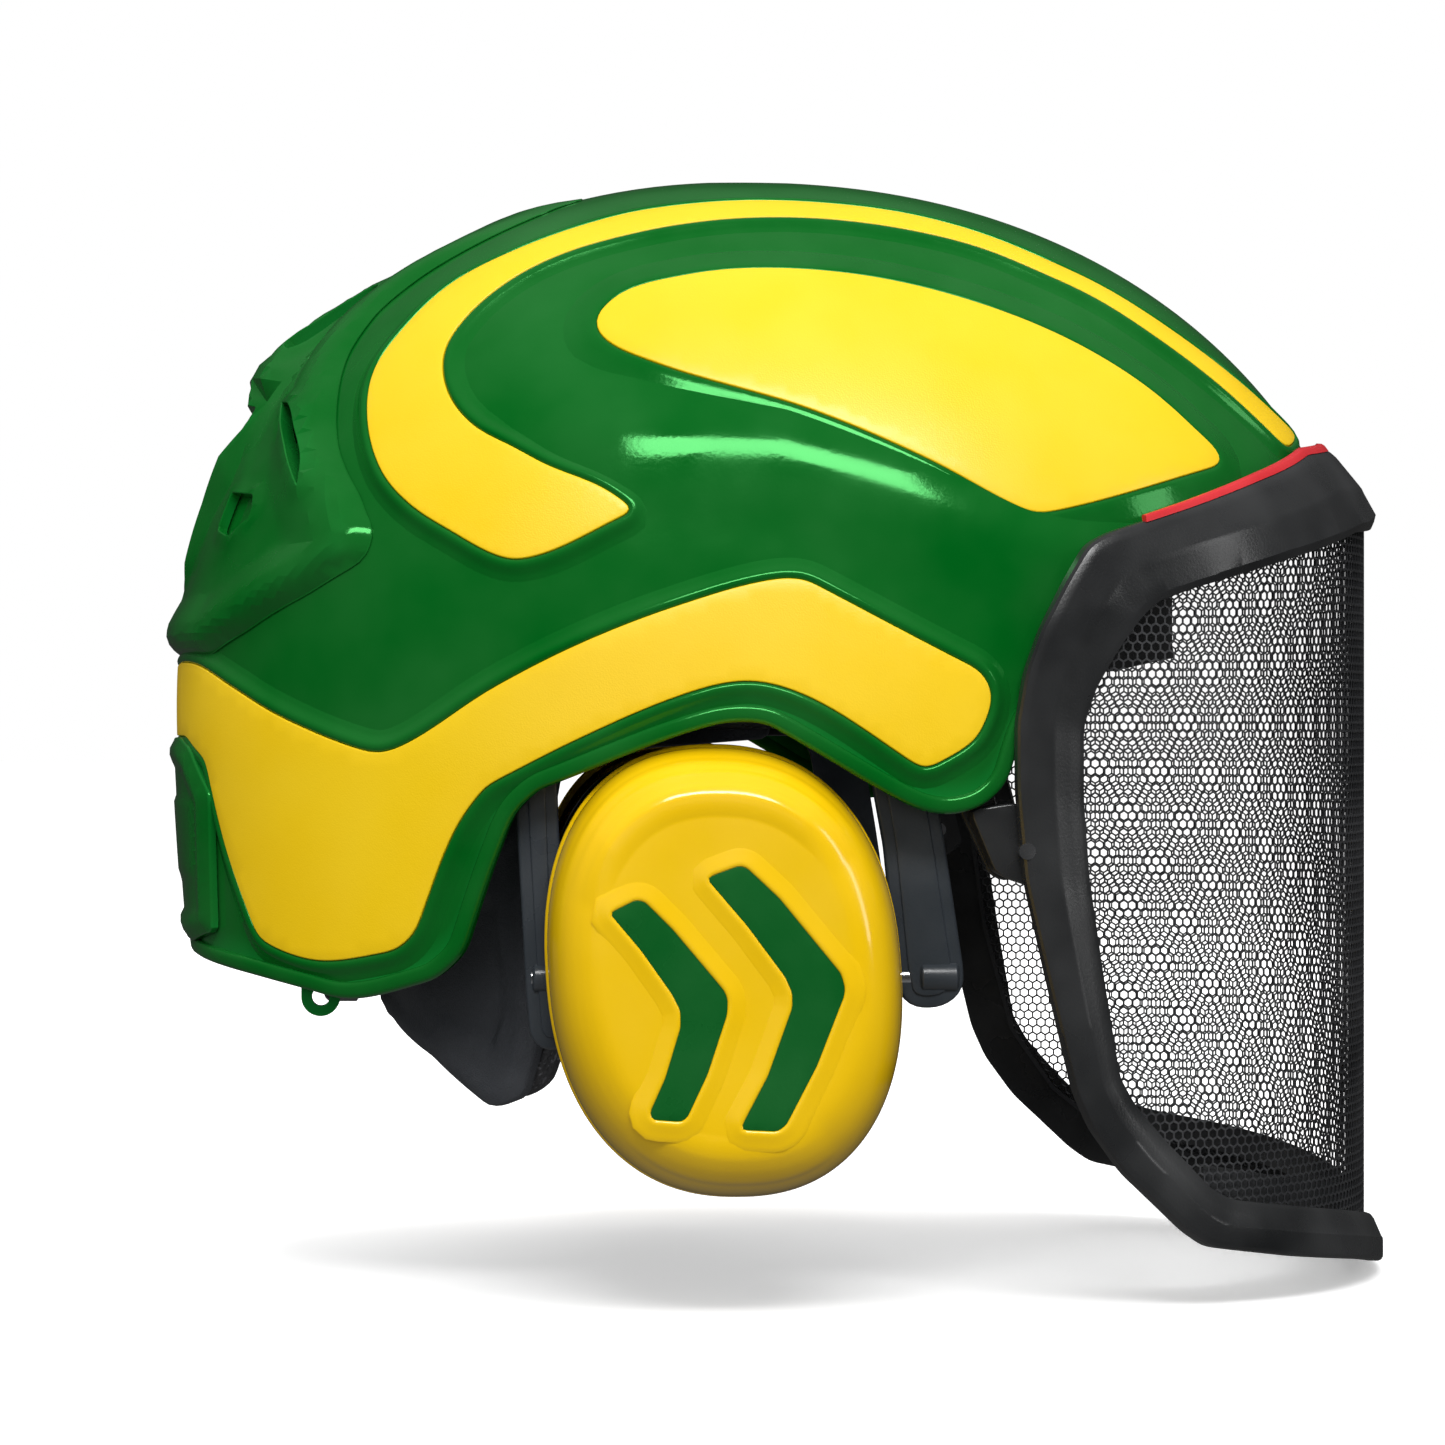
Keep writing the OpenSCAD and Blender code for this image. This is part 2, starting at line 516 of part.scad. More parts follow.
// Wire mesh, held behind the frame's opening
mesh_top = [[0, 63.5], [13, 63], [27, 60.5], [45, 52], [58, 44.5], [63, 40.5], [67, 33], [71, 21],
    [75, 5]];
mesh_low = [[0, -125], [29, -118], [43, -114], [53, -111], [62, -97], [68, -80], [72, -50], [75, -6]];
mesh_end = 75;
mesh_columns = 30;
mesh_thickness = 1;
mesh_gap = 0.9;
module visor_mesh() {
    function lay(off) = [for (t = [0 : 0.2 : 1]) [for (j = [0 : mesh_columns])
        let (a = mesh_end * (2 * j / mesh_columns - 1))
        on_visor(a, kz * (lookup(abs(a), mesh_low) * (1 - t) + lookup(abs(a), mesh_top) * t), off)]];
    color(charcoal) skin(lay(-frame_depth - mesh_gap), lay(-frame_depth - mesh_gap - mesh_thickness));
}
// Red strip along the top of the brow
trim_end = 64;
trim_rise = 1.5;
module brow_trim() {
    top = [for (p = frame_line) if (p[0][1] > 50) p[0]];
    function lay(off) = [for (h = [0, trim_rise]) [for (j = [0 : 32])
        let (a = trim_end * (j / 16 - 1)) on_visor(a, kz * lookup(abs(a), top) + 0.3 + h, off)]];
    color("red") skin(lay(-0.3), lay(-frame_depth + 1.8));
}
// Arms that carry the frame on its pivots, inside the shell
arm_y = -(half_width - 21.5);
arm_plate = 3;
arm_pin_y0 = -(half_width - 24.5);
module visor_arm() {
    bar_y = -(visor_half - frame_depth - 2.6);
    color(black) difference() {
        union() {
            along_y(arm_y, arm_plate)
                translate([pivot_x, visor_pivot_z]) {
                    circle(r = visor_pin_r + 5, $fn = 48);
                    polygon([[-9, 0], [9, 2], [24, -40], [27, -60], [20, -62], [12, -46]]);
                }
            along_y(arm_y - arm_plate, -bar_y + arm_y - arm_plate)
                translate([pivot_x, visor_pivot_z])
                    polygon([[14, -46.5], [24, -45], [30, -48], [33, -60], [27, -64], [20, -61]]);
        }
        along_y(arm_y + 1, arm_plate + 2)
            translate([pivot_x, visor_pivot_z])
                circle(r = visor_pin_r + pin_clearance, $fn = 48);
        translate([rivet_x, arm_y + 1, rivet_z]) rotate([90, 0, 0])
            cylinder(r = rivet_r, h = 20, $fn = 32);
    }
}
rivet_r = 2;
rivet_x = pivot_x + 26.5;
rivet_z = visor_pivot_z - 56;
module visor_rivets() color(steel)
    for (side = [1, -1]) scale([1, side, 1])
        translate([rivet_x, arm_y + 0.5, rivet_z]) rotate([90, 0, 0])
            cylinder(r = rivet_r, h = visor_half - 0.3 + arm_y, $fn = 32);
// Pivot pins, fixed to the inside of the shell
module visor_pivots() color(steel)
    for (side = [1, -1]) mirror([0, side < 0 ? 1 : 0, 0])
        translate([pivot_x, arm_pin_y0, visor_pivot_z]) rotate([90, 0, 0]) {
            cylinder(r = visor_pin_r, h = 16.7, $fn = 48);
            cylinder(r = visor_pin_r + 2, h = 2, $fn = 48);
        }

// ---------- Nape cradle and size knob ----------
cradle_wall = 3;
cradle_top = [[95, 16], [112, 15], [126, 8], [135, -16], [141, -25], [180, -26]];
cradle_low = [[95, 7], [112, 5], [127.5, 2.5], [131.5, -34], [133, -70], [136, -83], [141, -86],
    [152, -74], [165, -66], [180, -64]];
cradle_start = 95;
cradle_columns = 40;
cradle_power = 2.6;
function cradle_point(az, z, off) =
    let (tuck = max(0, -z - 20) * cradle_tuck)
    [head_x, 0, 0] + polar(az, ellipse_radius(az, head_half_len + 2 + off - tuck,
        head_half_width + band_wall + 0.8 + off - tuck * 0.8, cradle_power), z);
module cradle_skin(low, top, start, columns, off0, off1) {
    function lay(off) = [for (t = [0 : 0.25 : 1]) [for (j = [0 : columns])
        let (az = start + (360 - 2 * start) * j / columns)
        cradle_point(az, lookup(fold(az), low) * (1 - t) + lookup(fold(az), top) * t, off)]];
    skin(lay(off1), lay(off0));
}
module nape_cradle() color(charcoal)
    cradle_skin(cradle_low, cradle_top, cradle_start, cradle_columns, 0, cradle_wall);
foam_start = 132.5;
foam_low = [[132, -66], [136, -80], [141, -84], [152, -72], [165, -63], [180, -61]];
foam_top = [[132, -34], [141, -29], [180, -30]];
module nape_foam() color(black)
    cradle_skin(foam_low, foam_top, foam_start, 24, -8, -0.6);
knob_x = head_x - head_half_len - 2;
knob_z = -47;
cradle_tuck = 0.12;     // how far the cradle leans in below its bend, for each mm of height
knob_tuck = cradle_tuck * (-knob_z - knob_r - 20);
shaft_r = 3;
knob_depth = 11;
module knob_shaft() color(charcoal)
    pin_x(knob_x + knob_tuck - cradle_wall - knob_depth - 2,
        knob_x + cradle_tuck * (-knob_z - 20) - cradle_wall - 0.9, shaft_r, 0, knob_z);
module size_knob() color(black)
    difference() {
        union() {
            pin_x(knob_x + knob_tuck - cradle_wall - knob_depth - 1.2,
                knob_x + knob_tuck - cradle_wall - 1.2, knob_r - 1, 0, knob_z);
            for (k = [0 : 15])
                translate([knob_x + knob_tuck - cradle_wall - knob_depth, 0, knob_z])
                    rotate([22.5 * k, 0, 0]) translate([0, -1.5, 0]) cube([8, 3, knob_r]);
        }
        pin_x(knob_x - 40, knob_x + 40, shaft_r + pin_clearance, 0, knob_z);
    }

// ---------- Clip tabs under the rear edge ----------
tab_x = -109.5 * kr;
tab_z = kz * -52 - 6;
tab_y = -(side_y(tab_x - 6, kz * -50) - shell_wall - 1.2);
tab_plate = 3;
tab_foot = 4;
module clip_tabs() color(green)
    for (side = [0, 1]) mirror([0, side, 0])
        difference() {
            union() {
                along_y(tab_y + tab_plate, tab_plate) {
                    translate([tab_x, tab_z]) circle(r = clip_hole_r + 2.6, $fn = 40);
                    translate([tab_x - clip_hole_r - 2.6, tab_z])
                        square([2 * clip_hole_r + 5.2, kz * -40 - tab_z]);
                }
                block(tab_x - 4, tab_x + 4, tab_y - tab_foot, tab_y, kz * -50 + 4, kz * -40);
            }
            translate([tab_x, tab_y + tab_plate + 1, tab_z]) rotate([90, 0, 0])
                cylinder(r = clip_hole_r, h = tab_plate + 2, $fn = 40);
        }

outer_shell();
rear_cowl();
rear_cap();
side_band();  // side_band_right
left() side_band();  // side_band_left
eye_panel();  // eye_panel_right
left() eye_panel();  // eye_panel_left
crescent();  // crescent_right
left() crescent();  // crescent_left
eps_liner();
crown_net();
headband();
brow_pad();
net_hooks();
muff_guide();  // muff_guide_right
left() muff_guide();  // muff_guide_left
visor_pivots();
clip_tabs();
visor_frame();
visor_mesh();
brow_trim();
visor_arm();  // visor_arm_right
left() visor_arm();  // visor_arm_left
visor_rivets();
muff_slider();  // muff_slider_right
left() muff_slider();  // muff_slider_left
hinge_pin();  // hinge_pin_right
left() hinge_pin();  // hinge_pin_left
muff_fork();  // muff_fork_right
left() muff_fork();  // muff_fork_left
cup_pins();  // cup_pins_right
left() cup_pins();  // cup_pins_left
cup_shell();  // cup_shell_right
left() cup_shell();  // cup_shell_left
cup_inlays();  // cup_inlays_right
left() cup_inlays();  // cup_inlays_left
cup_base();  // cup_base_right
left() cup_base();  // cup_base_left
ear_cushion();  // ear_cushion_right
left() ear_cushion();  // ear_cushion_left
cup_foam();  // cup_foam_right
left() cup_foam();  // cup_foam_left
nape_cradle();
nape_foam();
knob_shaft();
size_knob();
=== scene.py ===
import math

import bpy
import bmesh
import numpy as np
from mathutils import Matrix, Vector, geometry


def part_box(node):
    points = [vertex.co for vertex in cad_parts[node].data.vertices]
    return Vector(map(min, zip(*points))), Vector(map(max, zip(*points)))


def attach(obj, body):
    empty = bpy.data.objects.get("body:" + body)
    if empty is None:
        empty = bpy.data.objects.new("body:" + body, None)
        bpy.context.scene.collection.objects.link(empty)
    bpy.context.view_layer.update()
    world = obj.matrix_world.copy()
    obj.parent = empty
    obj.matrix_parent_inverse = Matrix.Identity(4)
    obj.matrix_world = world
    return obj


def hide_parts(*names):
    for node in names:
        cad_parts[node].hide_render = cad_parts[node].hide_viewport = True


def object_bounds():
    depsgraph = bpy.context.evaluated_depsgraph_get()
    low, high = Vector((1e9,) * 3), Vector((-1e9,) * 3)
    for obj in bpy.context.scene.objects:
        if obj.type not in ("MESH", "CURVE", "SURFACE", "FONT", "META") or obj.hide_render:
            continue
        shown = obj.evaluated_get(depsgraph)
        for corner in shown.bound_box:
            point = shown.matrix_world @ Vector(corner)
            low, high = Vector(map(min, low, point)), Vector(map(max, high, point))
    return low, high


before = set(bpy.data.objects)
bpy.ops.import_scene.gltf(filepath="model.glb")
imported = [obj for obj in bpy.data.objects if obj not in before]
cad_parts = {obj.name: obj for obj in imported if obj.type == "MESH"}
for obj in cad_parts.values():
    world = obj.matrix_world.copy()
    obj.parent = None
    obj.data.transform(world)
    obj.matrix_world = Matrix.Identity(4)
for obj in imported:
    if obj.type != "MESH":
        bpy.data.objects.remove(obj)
cad_lo, cad_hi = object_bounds()
scene = bpy.context.scene

# ---------- Camera, floor and light ----------
# The camera looks square at the wearer's right side, at the height of the headband.
VIEW_TURN = math.radians(-2.9)
VIEW_TARGET = Vector((-0.006, 0.0, 0.010))
VIEW_DISTANCE = 1.130
look = Vector((-math.sin(VIEW_TURN), math.cos(VIEW_TURN), 0.0))
cam = bpy.data.objects.new("camera", bpy.data.cameras.new("camera"))
scene.collection.objects.link(cam)
cam.location = VIEW_TARGET - VIEW_DISTANCE * look
cam.rotation_euler = look.to_track_quat("-Z", "Y").to_euler()
cam.data.lens = 105.57
cam.data.sensor_width = 36.0
cam.data.clip_end = 60.0
cam.data.dof.use_dof = False
scene.camera = cam
scene.view_settings.view_transform = "Standard"
scene.view_settings.look = "None"


FLOOR_GAP, FLOOR_HALF = 0.0005, 14
LIGHT_TARGET = Vector((0, 0, 0.03))


def studio():
    floor = bpy.data.meshes.new("floor")
    z = cad_lo.z - FLOOR_GAP
    floor.from_pydata([(x * FLOOR_HALF, y * FLOOR_HALF, z) for x, y in ((-1, -1), (1, -1), (1, 1), (-1, 1))],
                      [], [(0, 1, 2, 3)])
    ob = bpy.data.objects.new("floor", floor)
    scene.collection.objects.link(ob)
    m = bpy.data.materials.new("floor")
    m.use_nodes = True
    bsdf = m.node_tree.nodes["Principled BSDF"]
    bsdf.inputs["Base Color"].default_value = (1, 1, 1, 1)
    bsdf.inputs["Emission Color"].default_value = (1, 1, 1, 1)
    bsdf.inputs["Emission Strength"].default_value = 0.35
    bsdf.inputs["Roughness"].default_value = 0.9
    bsdf.inputs["Specular IOR Level"].default_value = 0.0
    floor.materials.append(m)
    # The floor catches the shadow, but neither lights the helmet nor shows in its gloss
    ob.visible_diffuse = False
    ob.visible_glossy = False

    world = bpy.data.worlds.new("studio")
    scene.world = world
    world.use_nodes = True
    t = world.node_tree
    t.nodes.clear()
    out = t.nodes.new("ShaderNodeOutputWorld")
    pale = t.nodes.new("ShaderNodeBackground")
    pale.inputs["Color"].default_value = (1, 1, 1, 1)
    pale.inputs["Strength"].default_value = 1.0
    room = t.nodes.new("ShaderNodeBackground")
    room.inputs["Strength"].default_value = 1.0
    coord = t.nodes.new("ShaderNodeTexCoord")
    split = t.nodes.new("ShaderNodeSeparateXYZ")
    ramp = t.nodes.new("ShaderNodeValToRGB")
    stops = ramp.color_ramp.elements
    stops[0].position, stops[0].color = 0.0, (0.22, 0.22, 0.22, 1)
    stops[1].position, stops[1].color = 1.0, (0.30, 0.30, 0.30, 1)
    for at, v in ((0.30, 0.06), (0.50, 0.03), (0.70, 0.04), (0.84, 0.16)):
        e = stops.new(at)
        e.color = (v, v, v, 1)
    scale = t.nodes.new("ShaderNodeMath")
    scale.operation = "MULTIPLY_ADD"
    scale.inputs[1].default_value = 0.5
    scale.inputs[2].default_value = 0.5
    t.links.new(coord.outputs["Generated"], split.inputs[0])
    t.links.new(split.outputs["Z"], scale.inputs[0])
    t.links.new(scale.outputs[0], ramp.inputs[0])
    t.links.new(ramp.outputs[0], room.inputs["Color"])
    soft = t.nodes.new("ShaderNodeBackground")
    soft.inputs["Strength"].default_value = 1.0
    dome = t.nodes.new("ShaderNodeValToRGB")
    for stop, at, v in ((dome.color_ramp.elements[0], 0.44, 0.16),
                        (dome.color_ramp.elements[1], 1.0, 1.05)):
        stop.position, stop.color = at, (v, v, v, 1)
    t.links.new(scale.outputs[0], dome.inputs[0])
    t.links.new(dome.outputs[0], soft.inputs["Color"])
    path = t.nodes.new("ShaderNodeLightPath")
    glossy = t.nodes.new("ShaderNodeMixShader")
    camera = t.nodes.new("ShaderNodeMixShader")
    t.links.new(path.outputs["Is Glossy Ray"], glossy.inputs[0])
    t.links.new(soft.outputs[0], glossy.inputs[1])
    t.links.new(room.outputs[0], glossy.inputs[2])
    t.links.new(path.outputs["Is Camera Ray"], camera.inputs[0])
    t.links.new(glossy.outputs[0], camera.inputs[1])
    t.links.new(pale.outputs[0], camera.inputs[2])
    t.links.new(camera.outputs[0], out.inputs["Surface"])

    def softbox(name, place, size, power, mirrored=True):
        light = bpy.data.lights.new(name, "AREA")
        light.shape = "RECTANGLE"
        light.size, light.size_y = size
        light.energy = power
        o = bpy.data.objects.new(name, light)
        scene.collection.objects.link(o)
        o.location = place
        o.visible_glossy = mirrored
        o.rotation_euler = (LIGHT_TARGET - Vector(place)).to_track_quat("-Z", "Y").to_euler()

    softbox("key", (0.10, -1.45, 1.35), (1.15, 0.42), 21)
    softbox("side", (-0.5, -2.2, 0.35), (1.8, 0.9), 9, mirrored=False)
    softbox("top", (-0.25, 0.1, 1.7), (1.3, 0.5), 5, mirrored=False)
    softbox("front_fill", (1.9, -0.9, 0.6), (0.35, 1.0), 4)
    softbox("back_left", (-1.5, 1.2, 1.0), (0.9, 0.9), 6, mirrored=False)
    softbox("far_side", (0.4, 1.7, 0.9), (1.2, 0.6), 8, mirrored=False)


studio()

# ---------- Materials ----------


def material(name, color, rough=0.4, vary=0.03, rough_vary=0.08, bump=0.02, bump_scale=1200.0,
             coat=0.0, coat_rough=0.05, metallic=0.0, spec=0.5, wear=0.0, wear_color=None,
             speckle=None, sheen=0.0, cells=None, waves=0.0, tint=None):
    """A moulded, painted, metal or foam finish: colour drift, uneven gloss, grain and worn edges."""
    m = bpy.data.materials.new(name)
    m.use_nodes = True
    t = m.node_tree
    link = t.links.new
    bsdf = t.nodes["Principled BSDF"]
    bsdf.inputs["Metallic"].default_value = metallic
    bsdf.inputs["Specular IOR Level"].default_value = spec
    bsdf.inputs["Coat Weight"].default_value = coat
    bsdf.inputs["Coat Roughness"].default_value = coat_rough
    bsdf.inputs["Sheen Weight"].default_value = sheen
    if tint:
        bsdf.inputs["Specular Tint"].default_value = (*tint, 1)
        bsdf.inputs["Coat Tint"].default_value = (*tint, 1)
    coord = t.nodes.new("ShaderNodeTexCoord")
    where = coord.outputs["Object"]

    def noise(scale, detail=3.0):
        n = t.nodes.new("ShaderNodeTexNoise")
        n.inputs["Scale"].default_value = scale
        n.inputs["Detail"].default_value = detail
        link(where, n.inputs["Vector"])
        return n.outputs["Fac"]

    def remap(fac, lo, hi, a=0.3, b=0.7):
        r = t.nodes.new("ShaderNodeMapRange")
        for k, v in enumerate((a, b, lo, hi), start=1):
            r.inputs[k].default_value = v
        link(fac, r.inputs[0])
        return r.outputs[0]

    def mix(fac, a, b):
        x = t.nodes.new("ShaderNodeMix")
        x.data_type = "RGBA"
        link(fac, x.inputs[0])
        for socket, c in ((x.inputs[6], a), (x.inputs[7], b)):
            if isinstance(c, tuple):
                socket.default_value = (*c, 1)
            else:
                link(c, socket)
        return x.outputs[2]

    dark = tuple(c * (1 - 2.2 * vary) for c in color)
    light = tuple(min(1, c * (1 + 1.6 * vary) + 0.25 * vary) for c in color)
    tone = mix(remap(noise(28.0), 0, 1), dark, light)
    if speckle:
        tone = mix(remap(noise(speckle[1], 2.0), 0, 1, 0.56, 0.66), tone, speckle[0])
    if wear:
        geo = t.nodes.new("ShaderNodeNewGeometry")
        edge = remap(geo.outputs["Pointiness"], 0, wear, 0.52, 0.60)
        tone = mix(edge, tone, wear_color or tuple(min(1, c * 1.5 + 0.04) for c in color))
    link(tone, bsdf.inputs["Base Color"])
    link(remap(noise(55.0, 5.0), max(0.02, rough - rough_vary), min(1, rough + rough_vary)),
         bsdf.inputs["Roughness"])
    b = t.nodes.new("ShaderNodeBump")
    b.inputs["Strength"].default_value = min(1.0, bump * 10)
    b.inputs["Distance"].default_value = 0.0006
    if cells:
        v = t.nodes.new("ShaderNodeTexVoronoi")
        v.inputs["Scale"].default_value = cells
        link(where, v.inputs["Vector"])
        link(v.outputs["Distance"], b.inputs["Height"])
    else:
        link(noise(bump_scale, 2.0), b.inputs["Height"])
    link(b.outputs[0], bsdf.inputs["Normal"])
    if waves:
        c = t.nodes.new("ShaderNodeBump")
        c.inputs["Strength"].default_value = waves
        c.inputs["Distance"].default_value = 0.0008
        link(noise(22.0, 1.0), c.inputs["Height"])
        link(b.outputs[0], c.inputs["Normal"])
        link(c.outputs[0], bsdf.inputs["Normal"])
    return m


GREEN = material("abs_green", (0.0, 0.120, 0.010), 0.12, 0.04, 0.05, 0.003, 900, spec=0.75,
                 wear=0.30, wear_color=(0.01, 0.36, 0.06), waves=0.03, tint=(0.22, 1.0, 0.30))
GREEN_DEEP = material("abs_green_inlay", (0.0, 0.105, 0.013), 0.30, 0.04, 0.06, 0.006, 900,
                      tint=(0.3, 1.0, 0.35))
YELLOW = material("panel_yellow", (1.0, 0.645, 0.0), 0.36, 0.015, 0.06, 0.010, 2600, coat=0.15,
                  coat_rough=0.2)
CUP_YELLOW = material("cup_yellow", (0.98, 0.60, 0.0), 0.19, 0.02, 0.05, 0.004, 1500, coat=0.6,
                      waves=0.03)
BLACK = material("satin_black", (0.011, 0.012, 0.013), 0.30, 0.10, 0.07, 0.008, 1500, coat=0.25,
                 coat_rough=0.2, wear=0.3, wear_color=(0.05, 0.052, 0.056))
FORK = material("fork_blue_grey", (0.026, 0.034, 0.043), 0.34, 0.10, 0.10, 0.012, 1100, coat=0.2,
                coat_rough=0.2, wear=0.3, wear_color=(0.09, 0.10, 0.12))
GREY_GRAIN = material("cradle_grey", (0.040, 0.045, 0.054), 0.55, 0.12, 0.08, 0.05, 2300,
                      wear=0.3, wear_color=(0.12, 0.13, 0.15))
EPS = material("eps_foam", (0.028, 0.030, 0.034), 0.75, 0.15, 0.05, 0.08, 600, cells=420.0,
               speckle=((0.07, 0.07, 0.08), 300.0))
WEB = material("webbing", (0.016, 0.017, 0.019), 0.7, 0.15, 0.06, 0.06, 1700, sheen=0.3)
PAD = material("pad_cloth", (0.030, 0.031, 0.035), 0.85, 0.15, 0.05, 0.09, 1300, sheen=0.4,
               speckle=((0.08, 0.08, 0.09), 900.0))
NAPE = material("nape_foam", (0.024, 0.025, 0.028), 0.9, 0.2, 0.05, 0.1, 900, cells=700.0,
                speckle=((0.22, 0.22, 0.24), 800.0))
SKIN = material("cushion_skin", (0.012, 0.012, 0.014), 0.28, 0.1, 0.08, 0.02, 1400, coat=0.35,
                coat_rough=0.15)
STEEL = material("pin_steel", (0.62, 0.63, 0.65), 0.25, 0.05, 0.1, 0.01, 2500, metallic=1.0)
WIRE = material("wire_black", (0.022, 0.023, 0.026), 0.38, 0.1, 0.08, 0.01, 2500, coat=0.1)
RED = material("trim_red", (0.62, 0.012, 0.02), 0.35, 0.05, 0.06, 0.01, 1500, coat=0.2)
FOAM = material("cup_foam", (0.05, 0.05, 0.055), 0.95, 0.2, 0.04, 0.1, 900, cells=520.0,
                speckle=((0.12, 0.12, 0.13), 500.0))

# ---------- Building surfaces (millimetres here, metres in the meshes) ----------


class Form:
    """Collects surfaces and makes one piece of them."""

    def __init__(self):
        self.verts, self.faces, self.count = [], [], 0

    def add(self, points, faces):
        points = np.asarray(points, float).reshape(-1, 3)
        self.verts.append(points)
        self.faces += (np.asarray(faces, int) + self.count).tolist()
        self.count += len(points)

    def grid(self, p, wrap_u=False, wrap_v=False, flip=False, keep=None):
        p = np.asarray(p, float)
        n, m = p.shape[:2]
        i, j = np.meshgrid(np.arange(n if wrap_u else n - 1), np.arange(m if wrap_v else m - 1),
                           indexing="ij")
        if keep is not None:
            i, j = i[keep], j[keep]
        i, j = i.ravel(), j.ravel()
        a, b = (i + 1) % n, (j + 1) % m
        f = np.stack([i * m + j, i * m + b, a * m + b, a * m + j], 1)
        self.add(p, f[:, ::-1] if flip else f)

    def slab(self, outer, inner, wrap=False, keep=None, flip=True):
        """A closed skin between two grids. flip says that columns run to the left seen from outside."""
        outer, inner = np.asarray(outer, float), np.asarray(inner, float)
        n, m = outer.shape[:2]
        mc = m if wrap else m - 1
        if keep is None:
            keep = np.ones((n - 1, mc), bool)
        self.grid(outer, wrap_v=wrap, keep=keep, flip=flip)
        self.grid(inner, wrap_v=wrap, keep=keep, flip=not flip)
        pts = np.concatenate([outer.reshape(-1, 3), inner.reshape(-1, 3)])
        t, walls = n * m, []

        def solid(i, j):
            if wrap:
                j %= mc
            return 0 <= i < n - 1 and 0 <= j < mc and keep[i, j]

        for i, j in zip(*np.nonzero(keep)):
            a, b = i * m + j, i * m + (j + 1) % m
            c, d = (i + 1) * m + (j + 1) % m, (i + 1) * m + j
            for p, q, free in ((a, b, not solid(i - 1, j)), (b, c, not solid(i, j + 1)),
                               (c, d, not solid(i + 1, j)), (d, a, not solid(i, j - 1))):
                if free:
                    walls.append((p, q, t + q, t + p) if flip else (q, p, t + p, t + q))
        if walls:
            self.add(pts, walls)

    def make(self, name, body, slot, nodes, mats, bevel=0.0, segments=2, sharp=40, left=False,
             weld=0.004):
        v = np.concatenate(self.verts) / 1000
        f = self.faces
        if left:
            v = v * (1, -1, 1)
            f = [q[::-1] for q in f]
        me = bpy.data.meshes.new(name)
        me.from_pydata(v.tolist(), [], f)
        for m in mats:
            me.materials.append(m)
        bm = bmesh.new()
        bm.from_mesh(me)
        bmesh.ops.remove_doubles(bm, verts=bm.verts, dist=weld / 1000)
        loose = [x for x in bm.verts if not x.link_faces]
        bmesh.ops.delete(bm, geom=loose, context="VERTS")
        bm.to_mesh(me)
        bm.free()
        me.polygons.foreach_set("use_smooth", [True] * len(me.polygons))
        me.set_sharp_from_angle(angle=math.radians(sharp))
        ob = bpy.data.objects.new(name, me)
        scene.collection.objects.link(ob)
        if bevel:
            b = ob.modifiers.new("edges", "BEVEL")
            b.width, b.segments, b.limit_method = bevel / 1000, segments, "ANGLE"
            b.angle_limit = math.radians(38)
        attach(ob, body)
        if nodes:
            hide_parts(*nodes)
        return ob


def unit(v):
    return v / np.maximum(np.linalg.norm(v, axis=-1, keepdims=True), 1e-9)


def resample(points, step, closed):
    p = np.asarray(points, float)
    if closed:
        p = np.vstack([p, p[:1]])
    s = np.concatenate([[0], np.cumsum(np.linalg.norm(np.diff(p, axis=0), axis=1))])
    n = max(3, int(round(s[-1] / step)))
    t = np.linspace(0, s[-1], n + 1)
    out = np.stack([np.interp(t, s, p[:, k]) for k in range(p.shape[1])], 1)
    return out[:-1] if closed else out


def rounded(points, step=1.6, cut=5.0, closed=True, turns=3):
    """An outline with its corners rounded over about `cut` mm, evenly resampled."""
    p = resample(points, cut, closed) if cut else np.asarray(points, float)
    if cut:
        src = np.asarray(points, float)
        segs = np.vstack([src, src[:1]]) if closed else src
        parts = []
        for a, b in zip(segs[:-1], segs[1:]):
            n = max(1, int(np.linalg.norm(b - a) // cut))
            parts.append(a + (b - a) * np.arange(n)[:, None] / n)
        p = np.vstack(parts + ([] if closed else [segs[-1:]]))
    for _ in range(turns):
        q = np.roll(p, -1, 0)
        if closed:
            p = np.stack([0.75 * p + 0.25 * q, 0.25 * p + 0.75 * q], 1).reshape(-1, 2)
        else:
            a, b = p[:-1], p[1:]
            mid = np.stack([0.75 * a + 0.25 * b, 0.25 * a + 0.75 * b], 1).reshape(-1, 2)
            p = np.vstack([p[:1], mid, p[-1:]])
    return resample(p, step, closed)


